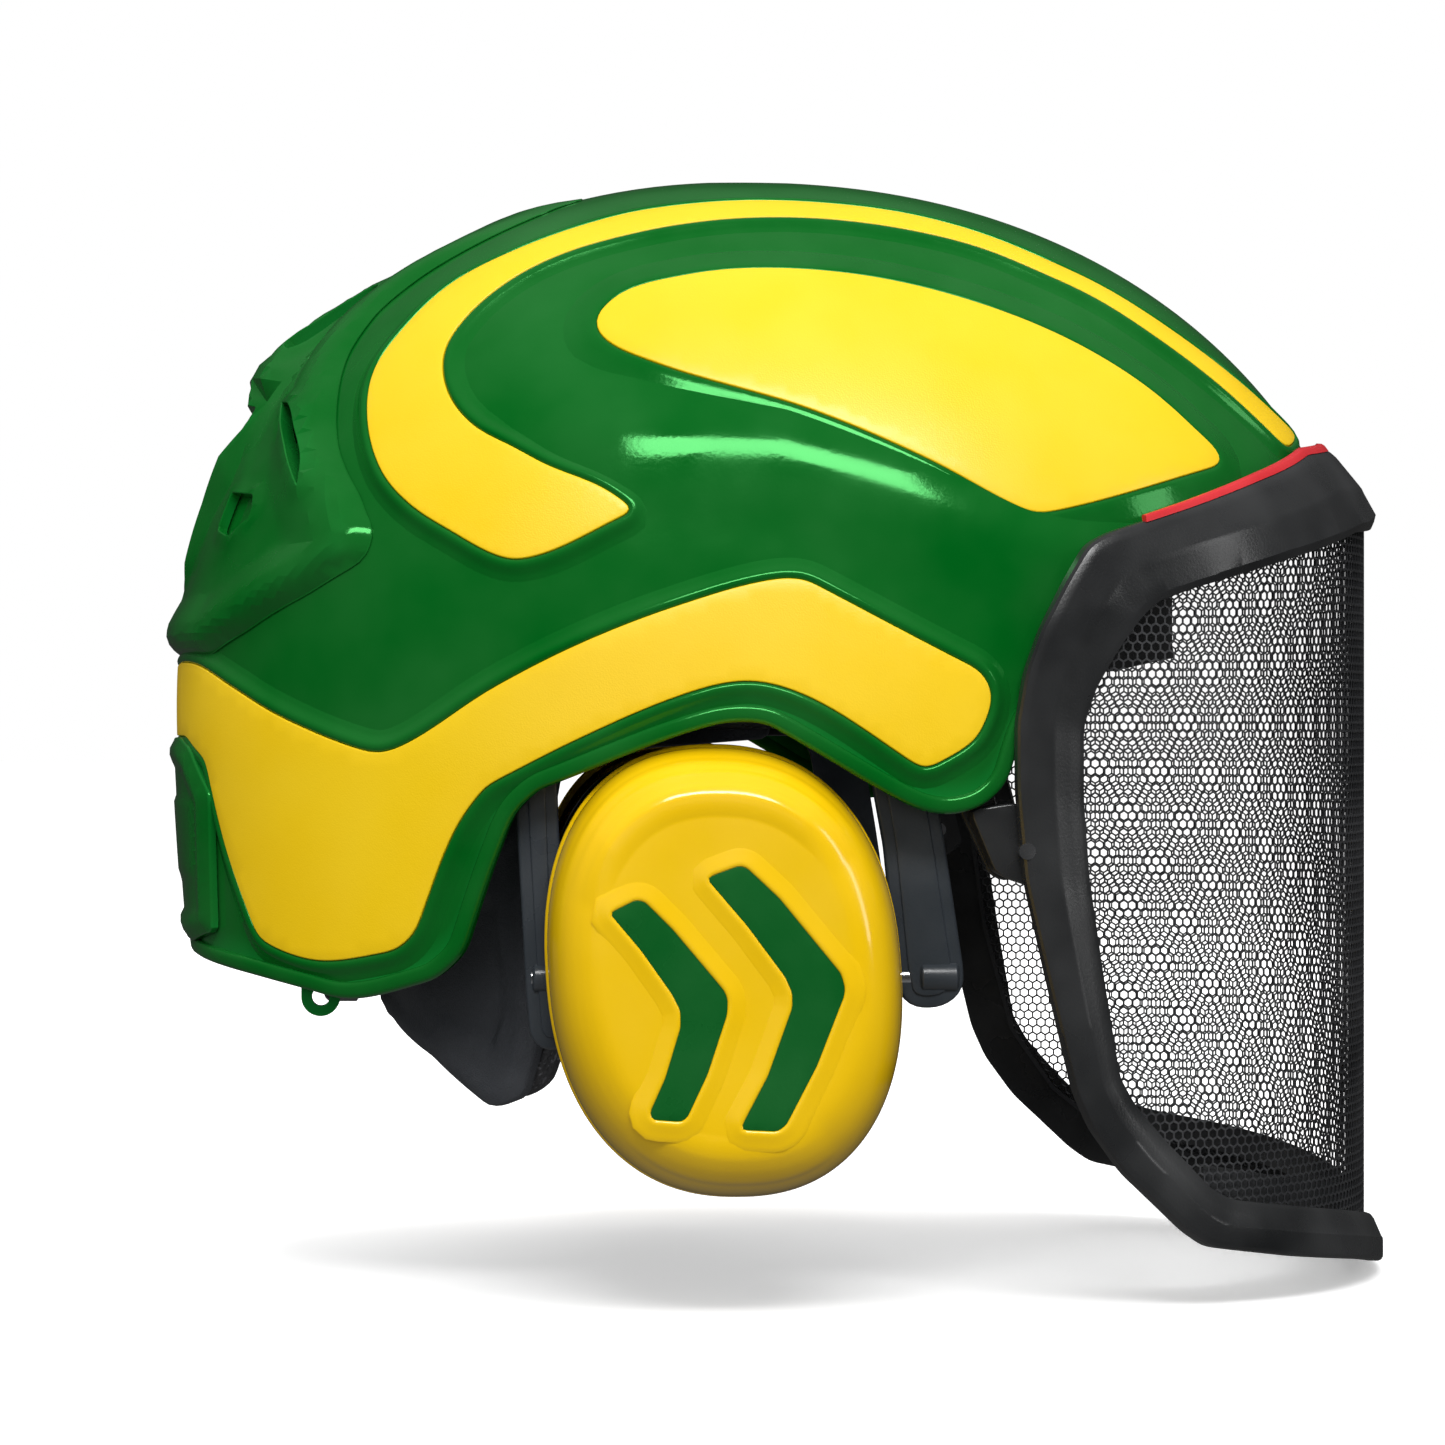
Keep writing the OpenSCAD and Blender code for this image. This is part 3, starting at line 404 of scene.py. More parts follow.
def spline(points, step=1.4, corner=40.0, soften=2, closed=True):
    """A smooth line through its points, with the sharper corners kept and slightly rounded."""
    p = np.asarray(points, float)
    n = len(p)
    back, ahead = unit(p - np.roll(p, 1, 0)), unit(np.roll(p, -1, 0) - p)
    turn = np.degrees(np.arccos(np.clip((back * ahead).sum(1), -1, 1)))
    out = []
    for i in range(n if closed else n - 1):
        j = (i + 1) % n
        length = np.linalg.norm(p[j] - p[i])
        ends = []
        for k in (i, j):
            free = turn[k] > corner or (not closed and k in (0, n - 1))
            ends.append((p[j] - p[i]) if free else unit(back[k] + ahead[k]) * length)
        t = np.linspace(0, 1, max(2, int(length / (0.5 * step)) + 1))[:-1, None]
        h00, h10 = 2 * t ** 3 - 3 * t ** 2 + 1, t ** 3 - 2 * t ** 2 + t
        h01, h11 = -2 * t ** 3 + 3 * t ** 2, t ** 3 - t ** 2
        out.append(h00 * p[i] + h10 * ends[0] + h01 * p[j] + h11 * ends[1])
    q = np.vstack(out + ([] if closed else [p[-1:]]))
    q = resample(q, step, closed)
    for _ in range(soften):
        if closed:
            q = 0.25 * np.roll(q, 1, 0) + 0.5 * q + 0.25 * np.roll(q, -1, 0)
        else:
            q[1:-1] = 0.25 * q[:-2] + 0.5 * q[1:-1] + 0.25 * q[2:]
    return q


def inside(p, loop):
    x, y = p[:, 0][:, None], p[:, 1][:, None]
    a, b = loop, np.roll(loop, -1, 0)
    cross = (a[:, 1] > y) != (b[:, 1] > y)
    with np.errstate(divide="ignore", invalid="ignore"):
        at = (b[:, 0] - a[:, 0]) * (y - a[:, 1]) / (b[:, 1] - a[:, 1]) + a[:, 0]
    return (np.sum(cross & (x < at), 1) % 2) == 1


def gap_to(p, loop, closed=True):
    """Distance from each point to an outline."""
    a = loop if closed else loop[:-1]
    b = np.roll(loop, -1, 0) if closed else loop[1:]
    d = b - a
    w = p[:, None, :] - a[None]
    t = np.clip((w * d).sum(2) / np.maximum((d * d).sum(1), 1e-9), 0, 1)
    return np.sqrt(((w - t[..., None] * d) ** 2).sum(2)).min(1)


def ccw(loop):
    a, b = loop, np.roll(loop, -1, 0)
    return loop if np.sum(a[:, 0] * b[:, 1] - b[:, 0] * a[:, 1]) > 0 else loop[::-1]


def triangulate(outline, holes, step, creases=()):
    loops = [ccw(outline)] + [ccw(h)[::-1] for h in holes]
    lo, hi = outline.min(0), outline.max(0)
    xs, ys = np.arange(lo[0], hi[0], step), np.arange(lo[1], hi[1], step * 0.866)
    gx, gy = np.meshgrid(xs, ys)
    gx = gx + (np.arange(len(ys)) % 2)[:, None] * step / 2
    fill = np.stack([gx.ravel(), gy.ravel()], 1)
    ok = inside(fill, outline) & (gap_to(fill, outline) > 0.5 * step)
    for h in holes:
        ok &= ~inside(fill, h) & (gap_to(fill, h) > 0.5 * step)
    fill = fill[ok]
    pts, edges, dropped, n = [], [], [], 0
    for loop in loops:
        k = len(loop)
        pts.append(loop)
        edges += [(n + i, n + (i + 1) % k) for i in range(k)]
        n += k
    for a, b in creases:
        k = max(2, int(np.linalg.norm(b - a) / (0.8 * step)) + 1)
        line = a + (b - a) * np.linspace(0, 1, k)[:, None]
        ok = inside(line, outline) & (gap_to(line, outline) > 1.0)
        for h in holes:
            ok &= ~inside(line, h) & (gap_to(line, h) > 1.0)
        edges += [(n + i, n + i + 1) for i in range(k - 1) if ok[i] and ok[i + 1]]
        pts.append(line)
        dropped += [n + i for i in range(k) if not ok[i]]
        n += k
    pts = np.vstack(pts + [fill])
    keep = np.ones(len(pts), bool)
    keep[dropped] = False
    if creases:
        near = np.ones(len(pts), bool)
        for a, b in creases:
            near[n:] &= gap_to(pts[n:], np.array([a, b]), closed=False) > 0.4 * step
        keep &= near
    number = np.cumsum(keep) - 1
    pts = pts[keep]
    edges = [(int(number[i]), int(number[j])) for i, j in edges]
    v, _, f, *_ = geometry.delaunay_2d_cdt([Vector(p) for p in pts.tolist()], edges, [], 0, 1e-6)
    v = np.array([tuple(p) for p in v])
    f = np.array(f)
    mid = v[f].mean(1)
    ok = inside(mid, outline)
    for h in holes:
        ok &= ~inside(mid, h)
    f = f[ok]
    a, b, c = v[f[:, 0]], v[f[:, 1]], v[f[:, 2]]
    turn = (b[:, 0] - a[:, 0]) * (c[:, 1] - a[:, 1]) - (b[:, 1] - a[:, 1]) * (c[:, 0] - a[:, 0])
    f[turn < 0] = f[turn < 0][:, ::-1]
    return v, f, loops


def frames(p, normal, closed=True):
    """Tangents and outward directions of a line of points on a surface."""
    if closed:
        t = unit(np.roll(p, -1, 0) - np.roll(p, 1, 0))
    else:
        t = unit(np.gradient(p, axis=0))
    return t, unit(np.cross(t, normal))


def plate(form, place, outline, holes=(), top=1.0, low=0.0, edge=0.5, step=3.0,
          height=None, creases=()):
    """A plate on a surface with rounded edges. place(uv, h) gives (points, normals)."""
    v, f, loops = triangulate(outline, list(holes), step, creases)
    up = (lambda uv: top + height(uv)) if height else (lambda uv: np.full(len(uv), top))
    form.add(place(v, up(v))[0], f)
    form.add(place(v, np.full(len(v), low))[0], f[:, ::-1])
    ring = [(0, 0), (0.5, 0.134), (0.87, 0.5), (1, 1)]
    for loop in loops:
        h = up(loop)
        rows = []
        base, n = place(loop, h)
        _, out = frames(base, n)
        for b, d in ring:
            rows.append(place(loop, h - d * edge)[0] + b * edge * out)
        floor = place(loop, np.full(len(loop), low))[0]
        rows.append(floor + edge * out)
        rows.append(floor)
        form.grid(np.array(rows), wrap_v=True, flip=True)


def tube(form, rows, closed=True):
    """A sweep through sections; each row is one section, counter-clockwise seen from its start."""
    rows = np.asarray(rows, float)
    form.grid(rows, wrap_u=closed, wrap_v=True, flip=True)
    if not closed:
        m = rows.shape[1]
        for row, start in ((rows[0], True), (rows[-1], False)):
            pts = np.vstack([row, row.mean(0)])
            tri = np.array([(k, (k + 1) % m, m) for k in range(m)])
            form.add(pts, tri if start else tri[:, ::-1])


def lathe(form, x0, direction, y, z, profile, n=32):
    """A turned piece about a line along X: profile holds (distance along, radius) pairs."""
    a = np.arange(n) * 2 * math.pi / n
    rows = [np.stack([np.full(n, x0 + direction * t), y + r * np.cos(a), z + r * np.sin(a)], 1)
            for t, r in profile]
    form.grid(np.array(rows), wrap_v=True, flip=direction < 0)


def brick(form, x, y, z):
    """A block between pairs of limits; its edges are rounded by the piece's bevel."""
    p = [(a, b, c) for c in z for b in y for a in x]
    form.add(p, [(0, 2, 3, 1), (4, 5, 7, 6), (0, 1, 5, 4), (2, 6, 7, 3), (0, 4, 6, 2),
                 (1, 3, 7, 5)])


# ---------- The shell's surface ----------
REACH, REAR, HALF, CROWN, SKIRT = 170.5, 152.0, 115.0, 153.0, 420.0
PLAN, SIDE, WALL_X, LEAN, CORNER = 2.2, 2.15, 153.0, 0.12, 24.0


def share(p):
    x, y, z = p[..., 0], p[..., 1], p[..., 2]
    plan = (np.abs(x) / np.where(x > 0, REACH, REAR)) ** PLAN + (np.abs(y) / HALF) ** PLAN
    up = np.abs(z) / np.where(z > 0, CROWN, SKIRT)
    free = (plan ** (SIDE / PLAN) + up ** SIDE) ** (1 / SIDE)
    wall = np.maximum((-x - LEAN * z) / WALL_X, 0)
    return (free ** CORNER + wall ** CORNER) ** (1 / CORNER)


def skin_point(p, off=0.0):
    """The shell point nearest to p along its own ray, and the shell's normal there."""
    s = p / share(p)[..., None]
    n = np.stack([share(s + d) - share(s - d) for d in 0.05 * np.eye(3)], -1)
    n = unit(n)
    return s + np.asarray(off)[..., None] * n, n


def plan_share(z):
    up = np.where(z > 0, z / CROWN, -z / SKIRT)
    return np.maximum(1 - np.abs(up) ** SIDE, 0) ** (PLAN / SIDE)


def shell_radius(az, z):
    c, s = np.cos(np.radians(az)), np.sin(np.radians(az))
    reach = np.where(c > 0, REACH, REAR)
    free = (plan_share(z) / ((np.abs(c) / reach) ** PLAN + (np.abs(s) / HALF) ** PLAN)) ** (1 / PLAN)
    wall = np.where(c < -0.1, (WALL_X + LEAN * z) / np.maximum(-c, 0.1), 3000.0)
    return (free ** -CORNER + wall ** -CORNER) ** (-1 / CORNER)


def round_axis(az, r, z):
    a = np.radians(az)
    return np.stack([r * np.cos(a), -r * np.sin(a), z + 0 * a], -1)


AZ_MM = 2.2          # millimetres for each degree round the shell, in the charts


def az_chart(uv, h):
    az = -uv[:, 0] / AZ_MM
    return skin_point(round_axis(az, shell_radius(az, uv[:, 1]), uv[:, 1]), h)


def x_chart(uv, h):
    x, z = uv[:, 0], uv[:, 1]
    y = HALF * np.maximum(plan_share(z) - (np.abs(x) / np.where(x > 0, REACH, REAR)) ** PLAN,
                          1e-4) ** (1 / PLAN)
    return skin_point(np.stack([x, -y, z], -1), h)


def az_loop(points):
    p = np.array(points, float)
    return p * (-AZ_MM, 1)


def strip(form, base, normal, profile, onto, closed=True, side=1):
    """A moulded lip beside a line: profile holds (distance outwards, height) pairs."""
    _, out = frames(base, normal, closed)
    rows = []
    for b, h in profile:
        rows.append(onto(base + side * b * out, h))
    form.grid(np.array(rows).swapaxes(0, 1), wrap_u=closed, flip=side > 0)


def onto_shell(p, h):
    return skin_point(p, np.full(len(p), h))[0]


BEAD = [(0.4, -0.8), (0.42, 0.8), (0.6, 1.25), (1.0, 1.6), (1.6, 1.75), (2.3, 1.6), (3.0, 1.2),
        (3.8, 0.65), (4.8, 0.22), (6.0, -0.05), (6.6, -0.3)]
SOFT_BEAD = [(0.35, -0.8), (0.4, 0.9), (0.7, 1.2), (1.6, 1.25), (3.4, 0.95), (6.0, 0.45),
             (9.0, 0.05), (10.5, -0.3)]

BAND_TOP = [(64.5, 18), (65.5, 22), (84, 42), (86, 44), (89, 44), (102, 37), (113, 28), (122, 18),
            (133, 3), (135, 2), (137, 3), (148, 12), (154, 18), (162, 24), (179.4, 24)]
BAND_LOW = [(64.5, 15), (66, 7), (67, 5), (72, -1), (85, 16), (91, 20), (95, 20), (102, 16),
            (113, 6), (123, -5), (126, -14), (131, -41), (133, -45), (142, -48), (148, -45),
            (150, -43), (155, -21), (159, 1), (165, 7), (179.4, 7)]
band = ccw(spline(az_loop(BAND_LOW + BAND_TOP[::-1]), 1.5, 24.0, 4))
EYE_TOP = [(-41, 109), (-39, 112), (-34, 116), (-20, 120), (-5, 122), (21, 121), (46, 116),
           (74, 106), (95, 94), (108, 83), (115, 75.5)]
EYE_LOW = [(-41, 107), (-39, 104), (-27, 98), (11, 86), (39, 74), (62, 62), (65, 61), (69, 61.5),
           (115, 74.5)]
eye = ccw(spline(EYE_LOW + EYE_TOP[::-1], 1.5, 50.0, 4))
RIBS = np.array([
    [[141, 84], [136, 80]], [[124, 97], [117, 96]], [[106, 109.5], [101, 107.5]],
    [[89, 120], [86, 117]], [[74, 127], [72, 123.5]], [[57, 134], [56, 130]],
    [[38, 139], [37, 134.5]], [[17, 141.5], [16, 137]], [[-2, 142], [-3, 137]],
    [[-20, 140.5], [-17, 135.5]], [[-34, 138], [-30, 133]], [[-60, 129], [-50, 127]],
    [[-77, 120], [-63, 120]], [[-89, 108], [-74, 110]], [[-96, 97], [-79, 101]],
    [[-97, 84], [-78, 91]], [[-93, 71], [-72, 82.5]], [[-86, 63], [-61, 76]],
    [[-77, 57], [-54, 72]], [[-64, 50], [-40, 66]], [[-60, 49.5], [-33, 61]]], float)
crescent = ccw(spline(np.vstack([RIBS[:, 0], RIBS[::-1, 1]]), 1.3, 50.0, 4))
EDGE = [(0, 64), (25, 61), (40, 50), (50, 38), (58, 24), (62, 10), (64, -3), (66, -7), (69, -8.5),
        (72, -7.5), (74, -5.5), (87, 9.8), (90, 13), (94.5, 13.8), (98, 12.6), (118, -3.0), (121, -9.4),
        (123, -19), (127, -44), (129.5, -49), (139, -54), (144, -52), (152, -49), (165, -46),
        (180, -45)]
edge = spline(np.array(EDGE, float) * (AZ_MM, 1), 1.2, 24.0, 5, closed=False)


def pair(build, name, body, slot, nodes, mats, **more):
    """The wearer's right piece, and the same piece mirrored for the left."""
    form = Form()
    build(form)
    out = []
    for side in ("right", "left"):
        out.append(form.make(f"{name}_{side}", body.replace("SIDE", side), slot,
                             [n.replace("SIDE", side) for n in nodes], mats,
                             left=side == "left", **more))
    return out


# ---------- Outer shell ----------
CREASE = np.array([(-62, 84), (-41, 79), (3, 77), (20, 71), (44, 62), (75, 50), (92, 44)], float)
VENTS = [(155, 165, 76, 92), (170, 175, 76, 92), (165, 175, 107, 121)]


def relief(p):
    """Low ridge along the side, with a flat facet above it, and a shallow spine over the crown."""
    d = gap_to(p[:, [0, 2]], CREASE, closed=False)
    ends = np.clip((p[:, 0] + 66) / 30, 0, 1) * np.clip((100 - p[:, 0]) / 30, 0, 1)
    ridge = 2.0 * np.maximum(1 - np.sqrt(d * d + 2.0) / 20, 0) * ends
    spine = 0.9 * np.exp(-(p[:, 1] / 7) ** 2) * np.clip((p[:, 2] - 90) / 30, 0, 1)
    return ridge + spine


def shell_grid(columns, rows, off, with_relief):
    az = 360 * np.arange(columns) / columns
    fold = np.where(az > 180, 360 - az, az)
    low = np.interp(fold * AZ_MM, edge[:, 0], edge[:, 1])
    t = np.linspace(0, 1, rows + 1)[:, None]
    z = low + (CROWN - 0.25 - low) * np.sin(t * math.pi / 2)
    a = np.broadcast_to(az, z.shape)
    p, _ = skin_point(round_axis(a.ravel(), shell_radius(a.ravel(), z.ravel()), z.ravel()))
    h = relief(p) if with_relief else 0.0
    p, _ = skin_point(p, np.zeros(len(p)) + off + h)
    return p.reshape(*z.shape, 3), a, z


def build_shell():
    form = Form()
    columns, rows = 480, 58
    outer, az, z = shell_grid(columns, rows, 0.0, True)
    inner, _, _ = shell_grid(columns, rows, -3.5, False)
    fold = np.where(az > 180, 360 - az, az)[:-1] + 0.375
    mid = (z[:-1] + z[1:]) / 2
    keep = np.ones(mid.shape, bool)
    for a0, a1, z0, z1 in VENTS:
        keep &= ~((fold > a0) & (fold < a1) & (mid > z0) & (mid < z1))
    form.slab(outer, inner, wrap=True, keep=keep)
    for top, flip in ((outer[-1], False), (inner[-1], True)):
        pts = np.vstack([top, top.mean(0) + (0, 0, 0.1)])
        tri = np.array([((k + 1) % columns, k, columns) for k in range(columns)])
        form.add(pts, tri[:, ::-1] if flip else tri)
    # Rolled lip round the lower edge
    right = az_chart(edge * (-1, 1), np.zeros(len(edge)))[0]
    loop = np.vstack([right, (right * (1, -1, 1))[-2:0:-1]])
    base, normal = skin_point(loop)
    lip = [(3.4, -3.2), (3.0, -3.6), (0.1, -3.65), (-0.4, -3.2), (-0.55, -2.6), (-0.5, 0.2),
           (-0.4, 0.95), (0.0, 1.4), (0.8, 1.6), (2.3, 1.55), (3.0, 1.3), (3.4, 0.8), (3.7, -0.3)]
    strip(form, base, normal, lip, onto_shell, side=-1)
    # Raised lips round the panels
    for outline, chart, profile, cut in ((band, az_chart, BEAD, True), (crescent, x_chart, BEAD, False),
                                         (eye, x_chart, SOFT_BEAD, False)):
        line = outline
        if cut:
            start = int(np.argmin(line[:, 0]))
            line = np.roll(line, -start, 0)
            line = line[line[:, 0] > -AZ_MM * 178.9]
        p, n = chart(line, np.zeros(len(line)))
        strip(form, p, n, profile, onto_shell, closed=not cut)
        strip(form, p * (1, -1, 1), n * (1, -1, 1), profile, onto_shell, closed=not cut, side=-1)
    form.make("shell", "shell", "shell_green", ["outer_shell"], [GREEN], weld=0.01, sharp=50)


build_shell()
pair(lambda f: plate(f, az_chart, band, top=1.55, low=0.35, edge=0.4, step=3.2),
     "band", "shell", "panel_yellow", ["side_band_SIDE"], [YELLOW])
pair(lambda f: plate(f, x_chart, eye, top=1.5, low=0.35, edge=0.4, step=3.0),
     "eye_inlay", "shell", "panel_yellow", ["eye_panel_SIDE"], [YELLOW])
pair(lambda f: plate(f, x_chart, crescent, top=1.55, low=0.35, edge=0.4, step=1.5),
     "crescent_inlay", "shell", "panel_yellow", ["crescent_SIDE"], [YELLOW])

# ---------- Rear cowl and cap ----------
COWL = [(27, 50), (33, 64), (42, 78), (50, 86), (57, 85), (66, 79), (78, 68), (91, 57), (104, 45),
        (116, 36), (126, 33), (134, 32), (141, 28), (147, 18)]


def rear_chart(uv, h):
    y, z = -uv[:, 0], uv[:, 1]
    x = -REAR * np.maximum(plan_share(z) - (np.abs(y) / HALF) ** PLAN, 1e-3) ** (1 / PLAN)
    for _ in range(8):
        f = share(np.stack([x, y, z], -1)) - 1
        g = (share(np.stack([x + 0.05, y, z], -1)) - share(np.stack([x - 0.05, y, z], -1))) / 0.1
        x = x - np.clip(f / np.where(np.abs(g) < 1e-4, -1e-4, g), -6, 6)
    return skin_point(np.stack([x, y, z], -1), h)


# Faceted relief of the cowl: distance from the middle, height up the shell, rise
FACETS = [
    (0, 147, 0.8), (18, 147, 0.5), (28, 141, 0.5), (0, 126, 2.6), (11, 126, 2.4), (22, 123, 3.2),
    (33, 126, 1.0), (0, 112, 5.4), (11, 112, 5.2), (22, 110, 5.0), (28, 111, 4.2), (38, 114, 1.4),
    (0, 98, 9.2), (12, 98, 9.0), (21, 98, 7.4), (28, 99, 6.2), (44, 101, 1.6), (0, 94.5, 8.8),
    (12, 95, 8.4), (21, 95, 7.0), (28, 96, 5.6), (0, 90, 2.4), (8, 90, 2.0), (24, 91.5, 1.8),
    (30, 90, 4.6), (50, 90, 1.8), (0, 83, 2.0), (8, 83, 1.6), (24, 84, 1.6), (29, 83, 4.8),
    (0, 76, 3.2), (10, 78, 3.6), (25, 76, 6.0), (34, 76, 2.0), (58, 76, 1.8), (0, 64, 1.0),
    (12, 64, 1.4), (22, 65, 4.4), (30, 62, 1.4), (34, 70, 1.6), (62, 62, 1.8), (0, 52, 1.4),
    (13, 52, 2.4), (21, 52, 3.8), (27, 50, 1.2), (50, 50, 1.8), (0, 44, 4.0), (20, 44, 4.2),
    (31, 43, 2.2), (48, 42, 1.8), (70, 48, 1.8), (0, 30, 3.4), (24, 30, 3.2), (44, 33, 2.0),
    (62, 38, 1.6)]


def build_cowl():
    half = np.array([(w, z) for z, w in COWL], float)
    outline = ccw(rounded(np.vstack([half, (half * (-1, 1))[::-1]]), 2.0, 5.0))
    slit = [(41, 90), (48, 84.5), (56, 78.5), (63, 72), (69, 66), (65, 74), (57, 82), (49, 88)]
    window = [(40, 68), (52, 67), (55, 61), (49, 56), (41, 58)]
    trough = [(13.5, 122), (16, 123), (20, 119), (20.5, 106), (18.5, 102.5), (13.5, 104)]
    notch = [(9, 89), (22, 90), (21.5, 85.5), (9.5, 84.5)]
    holes = []
    for h in (slit, window, trough, notch):
        a = np.array(h, float)
        holes += [spline(a, 1.3, 30.0, 1), spline(a * (-1, 1), 1.3, 30.0, 1)]
    marks = np.vstack([np.array(FACETS, float), [(-w, z, h) for w, z, h in FACETS if w > 0]])
    pts, _, tri, *_ = geometry.delaunay_2d_cdt([Vector((m[0], m[1])) for m in marks], [], [], 0, 1e-6)
    tri = np.array(tri)
    nearest = [int(np.argmin(np.hypot(*(marks[:, :2] - tuple(p)).T))) for p in pts]
    flat_h = marks[nearest, 2]
    corner = np.array([tuple(p) for p in pts])
    lines = {tuple(sorted((int(t[k]), int(t[(k + 1) % 3])))) for t in tri for k in range(3)}
    creases = [(corner[i], corner[j]) for i, j in sorted(lines)]

    def facets(uv):
        best, out = np.full(len(uv), -9.0), np.zeros(len(uv))
        for i, j, k in tri:
            a, b, c = corner[i], corner[j], corner[k]
            det = (b[0] - a[0]) * (c[1] - a[1]) - (b[1] - a[1]) * (c[0] - a[0])
            if abs(det) < 1e-6:
                continue
            q = uv - a
            s = (q[:, 0] * (c[1] - a[1]) - q[:, 1] * (c[0] - a[0])) / det
            t = (q[:, 1] * (b[0] - a[0]) - q[:, 0] * (b[1] - a[1])) / det
            fit = np.minimum(np.minimum(s, t), 1 - s - t)
            value = flat_h[i] * (1 - s - t) + flat_h[j] * s + flat_h[k] * t
            out = np.where(fit > best, value, out)
            best = np.maximum(best, fit)
        return out

    def height(uv):
        z = uv[:, 1]
        d = gap_to(uv, outline)
        ridge = np.interp(d, [0, 1.0, 2.5, 4.5, 7.5, 11, 15, 20], [0, 1.6, 3.4, 4.6, 4.7, 3.4, 1.8, 1.5])
        ridge = ridge * np.interp(z, [90, 125, 138], [1.0, 0.6, 0.3])
        rims = np.min([gap_to(uv, h) for h in holes], 0)
        rim = np.interp(rims, [0, 0.9, 1.9, 3.0], [1.0, 1.1, 0.6, 0.0])
        soft = np.interp(d, [0, 14, 24], [0.0, 0.2, 1.0])
        return np.maximum(ridge, facets(uv) * soft) + rim * 0.7

    form = Form()
    plate(form, rear_chart, outline, holes, top=0.5, low=0.4, edge=0.35, step=1.9,
          height=height, creases=creases)
    form.make("rear_cowl_shaped", "shell", "shell_green", ["rear_cowl"], [GREEN], sharp=13)


def build_cap():
    low = [(158, -42), (165, -45), (180, -44), (195, -45), (202, -42)]
    top = [(158, -8), (163, 3), (167, 5.5), (180, 5.5), (193, 5.5), (197, 3), (202, -8)]
    outline = ccw(rounded(az_loop(low + top[::-1]), 1.6, 3.0))

    def height(uv):
        d = gap_to(uv, outline)
        z = uv[:, 1]
        step = np.interp(z, [-30, -28.5, -10, -8.5], [0.0, 0.7, 0.7, 0.0])
        return np.interp(d, [0, 2.2, 4.5, 6.5], [0.0, 1.3, 1.3, 0.1]) + step * (d > 7) - 0.1

    form = Form()
    plate(form, az_chart, outline, top=2.5, low=0.35, edge=0.7, step=2.0, height=height)
    form.make("rear_cap_shaped", "shell", "shell_green", ["rear_cap"], [GREEN], sharp=32)


build_cowl()
build_cap()

# ---------- Liner, straps and headband ----------
LINER_LINE = [(0, 72), (35, 66), (50, 60), (62, 58), (125, 58), (140, 26), (160, 0), (180, -6)]


def build_liner():
    columns, rows = 216, 34
    az = 360 * np.arange(columns) / columns
    fold = np.where(az > 180, 360 - az, az)
    line = rounded(np.array(LINER_LINE, float) * (AZ_MM, 1), 2.0, 6.0, closed=False)
    low = np.interp(fold * AZ_MM, line[:, 0], line[:, 1])
    t = np.linspace(0, 1, rows + 1)[:, None]
    z = low + (CROWN - 0.3 - low) * np.sin(t * math.pi / 2)
    a = np.broadcast_to(az, z.shape)
    p, _ = skin_point(round_axis(a.ravel(), shell_radius(a.ravel(), z.ravel()), z.ravel()))
    # Air channels run up the inside between the lands that carry the straps
    groove = np.clip(np.cos(np.radians(6 * a.ravel())) * -3 - 1.2, 0, 1)
    fade = np.clip((148 - z.ravel()) / 22, 0, 1) * np.clip((t + 0 * z).ravel() / 0.12, 0, 1)
    outer, _ = skin_point(p, np.full(len(p), -4.2))
    inner, _ = skin_point(p, -21.85 + 4.5 * groove * fade)
    form = Form()
    outer, inner = outer.reshape(*z.shape, 3), inner.reshape(*z.shape, 3)
    form.slab(outer, inner, wrap=True)
    for top, flip in ((outer[-1], False), (inner[-1], True)):
        pts = np.vstack([top, top.mean(0)])
        tri = np.array([((k + 1) % columns, k, columns) for k in range(columns)])
        form.add(pts, tri[:, ::-1] if flip else tri)
    ob = form.make("liner_moulded", "shell", "liner_foam", ["eps_liner"], [EPS], bevel=1.2,
                   weld=0.01)
    return ob


HEAD_X, HEAD_A, HEAD_B = 8.0, 104.0, 79.0


def ellipse(az, a, b, power=2.0):
    c, s = np.abs(np.cos(np.radians(az))), np.abs(np.sin(np.radians(az)))
    return ((c / a) ** power + (s / b) ** power) ** (-1 / power)


def about_head(az, off, z, power=2.0):
    az, z = np.asarray(az, float), np.asarray(z, float)
    return round_axis(az, ellipse(az, HEAD_A + off, HEAD_B + off, power), z) + (HEAD_X, 0, 0)


def brow_rise(az):
    return 36 * np.maximum(0, np.cos(np.radians(az)))


def build_headband():
    az = np.linspace(-105, 105, 150)
    low = np.interp(np.abs(az), [0, 30, 48, 60, 105], [-9, -8, -4, 6, 7]) + brow_rise(az)
    high = 21 + brow_rise(az)
    t = np.array([0, 0.06, 0.12, 0.3, 0.5, 0.7, 0.88, 0.94, 1.0])[:, None]
    z = low * (1 - t) + high * t
    lift = np.where((t < 0.1) | (t > 0.9), 0.35, 0.0) + 0 * z
    a = np.broadcast_to(az, z.shape)
    form = Form()
    outer = np.array([about_head(x, 2.0, y) for x, y in zip(a, z)])
    out = unit(outer - (HEAD_X, 0, 0)) * (1, 1, 0)
    form.slab(outer + lift[..., None] * out, np.array([about_head(x, 0.0, y) for x, y in zip(a, z)]))
    form.make("headband_moulded", "shell", "band_black", ["headband"], [BLACK], bevel=0.5)


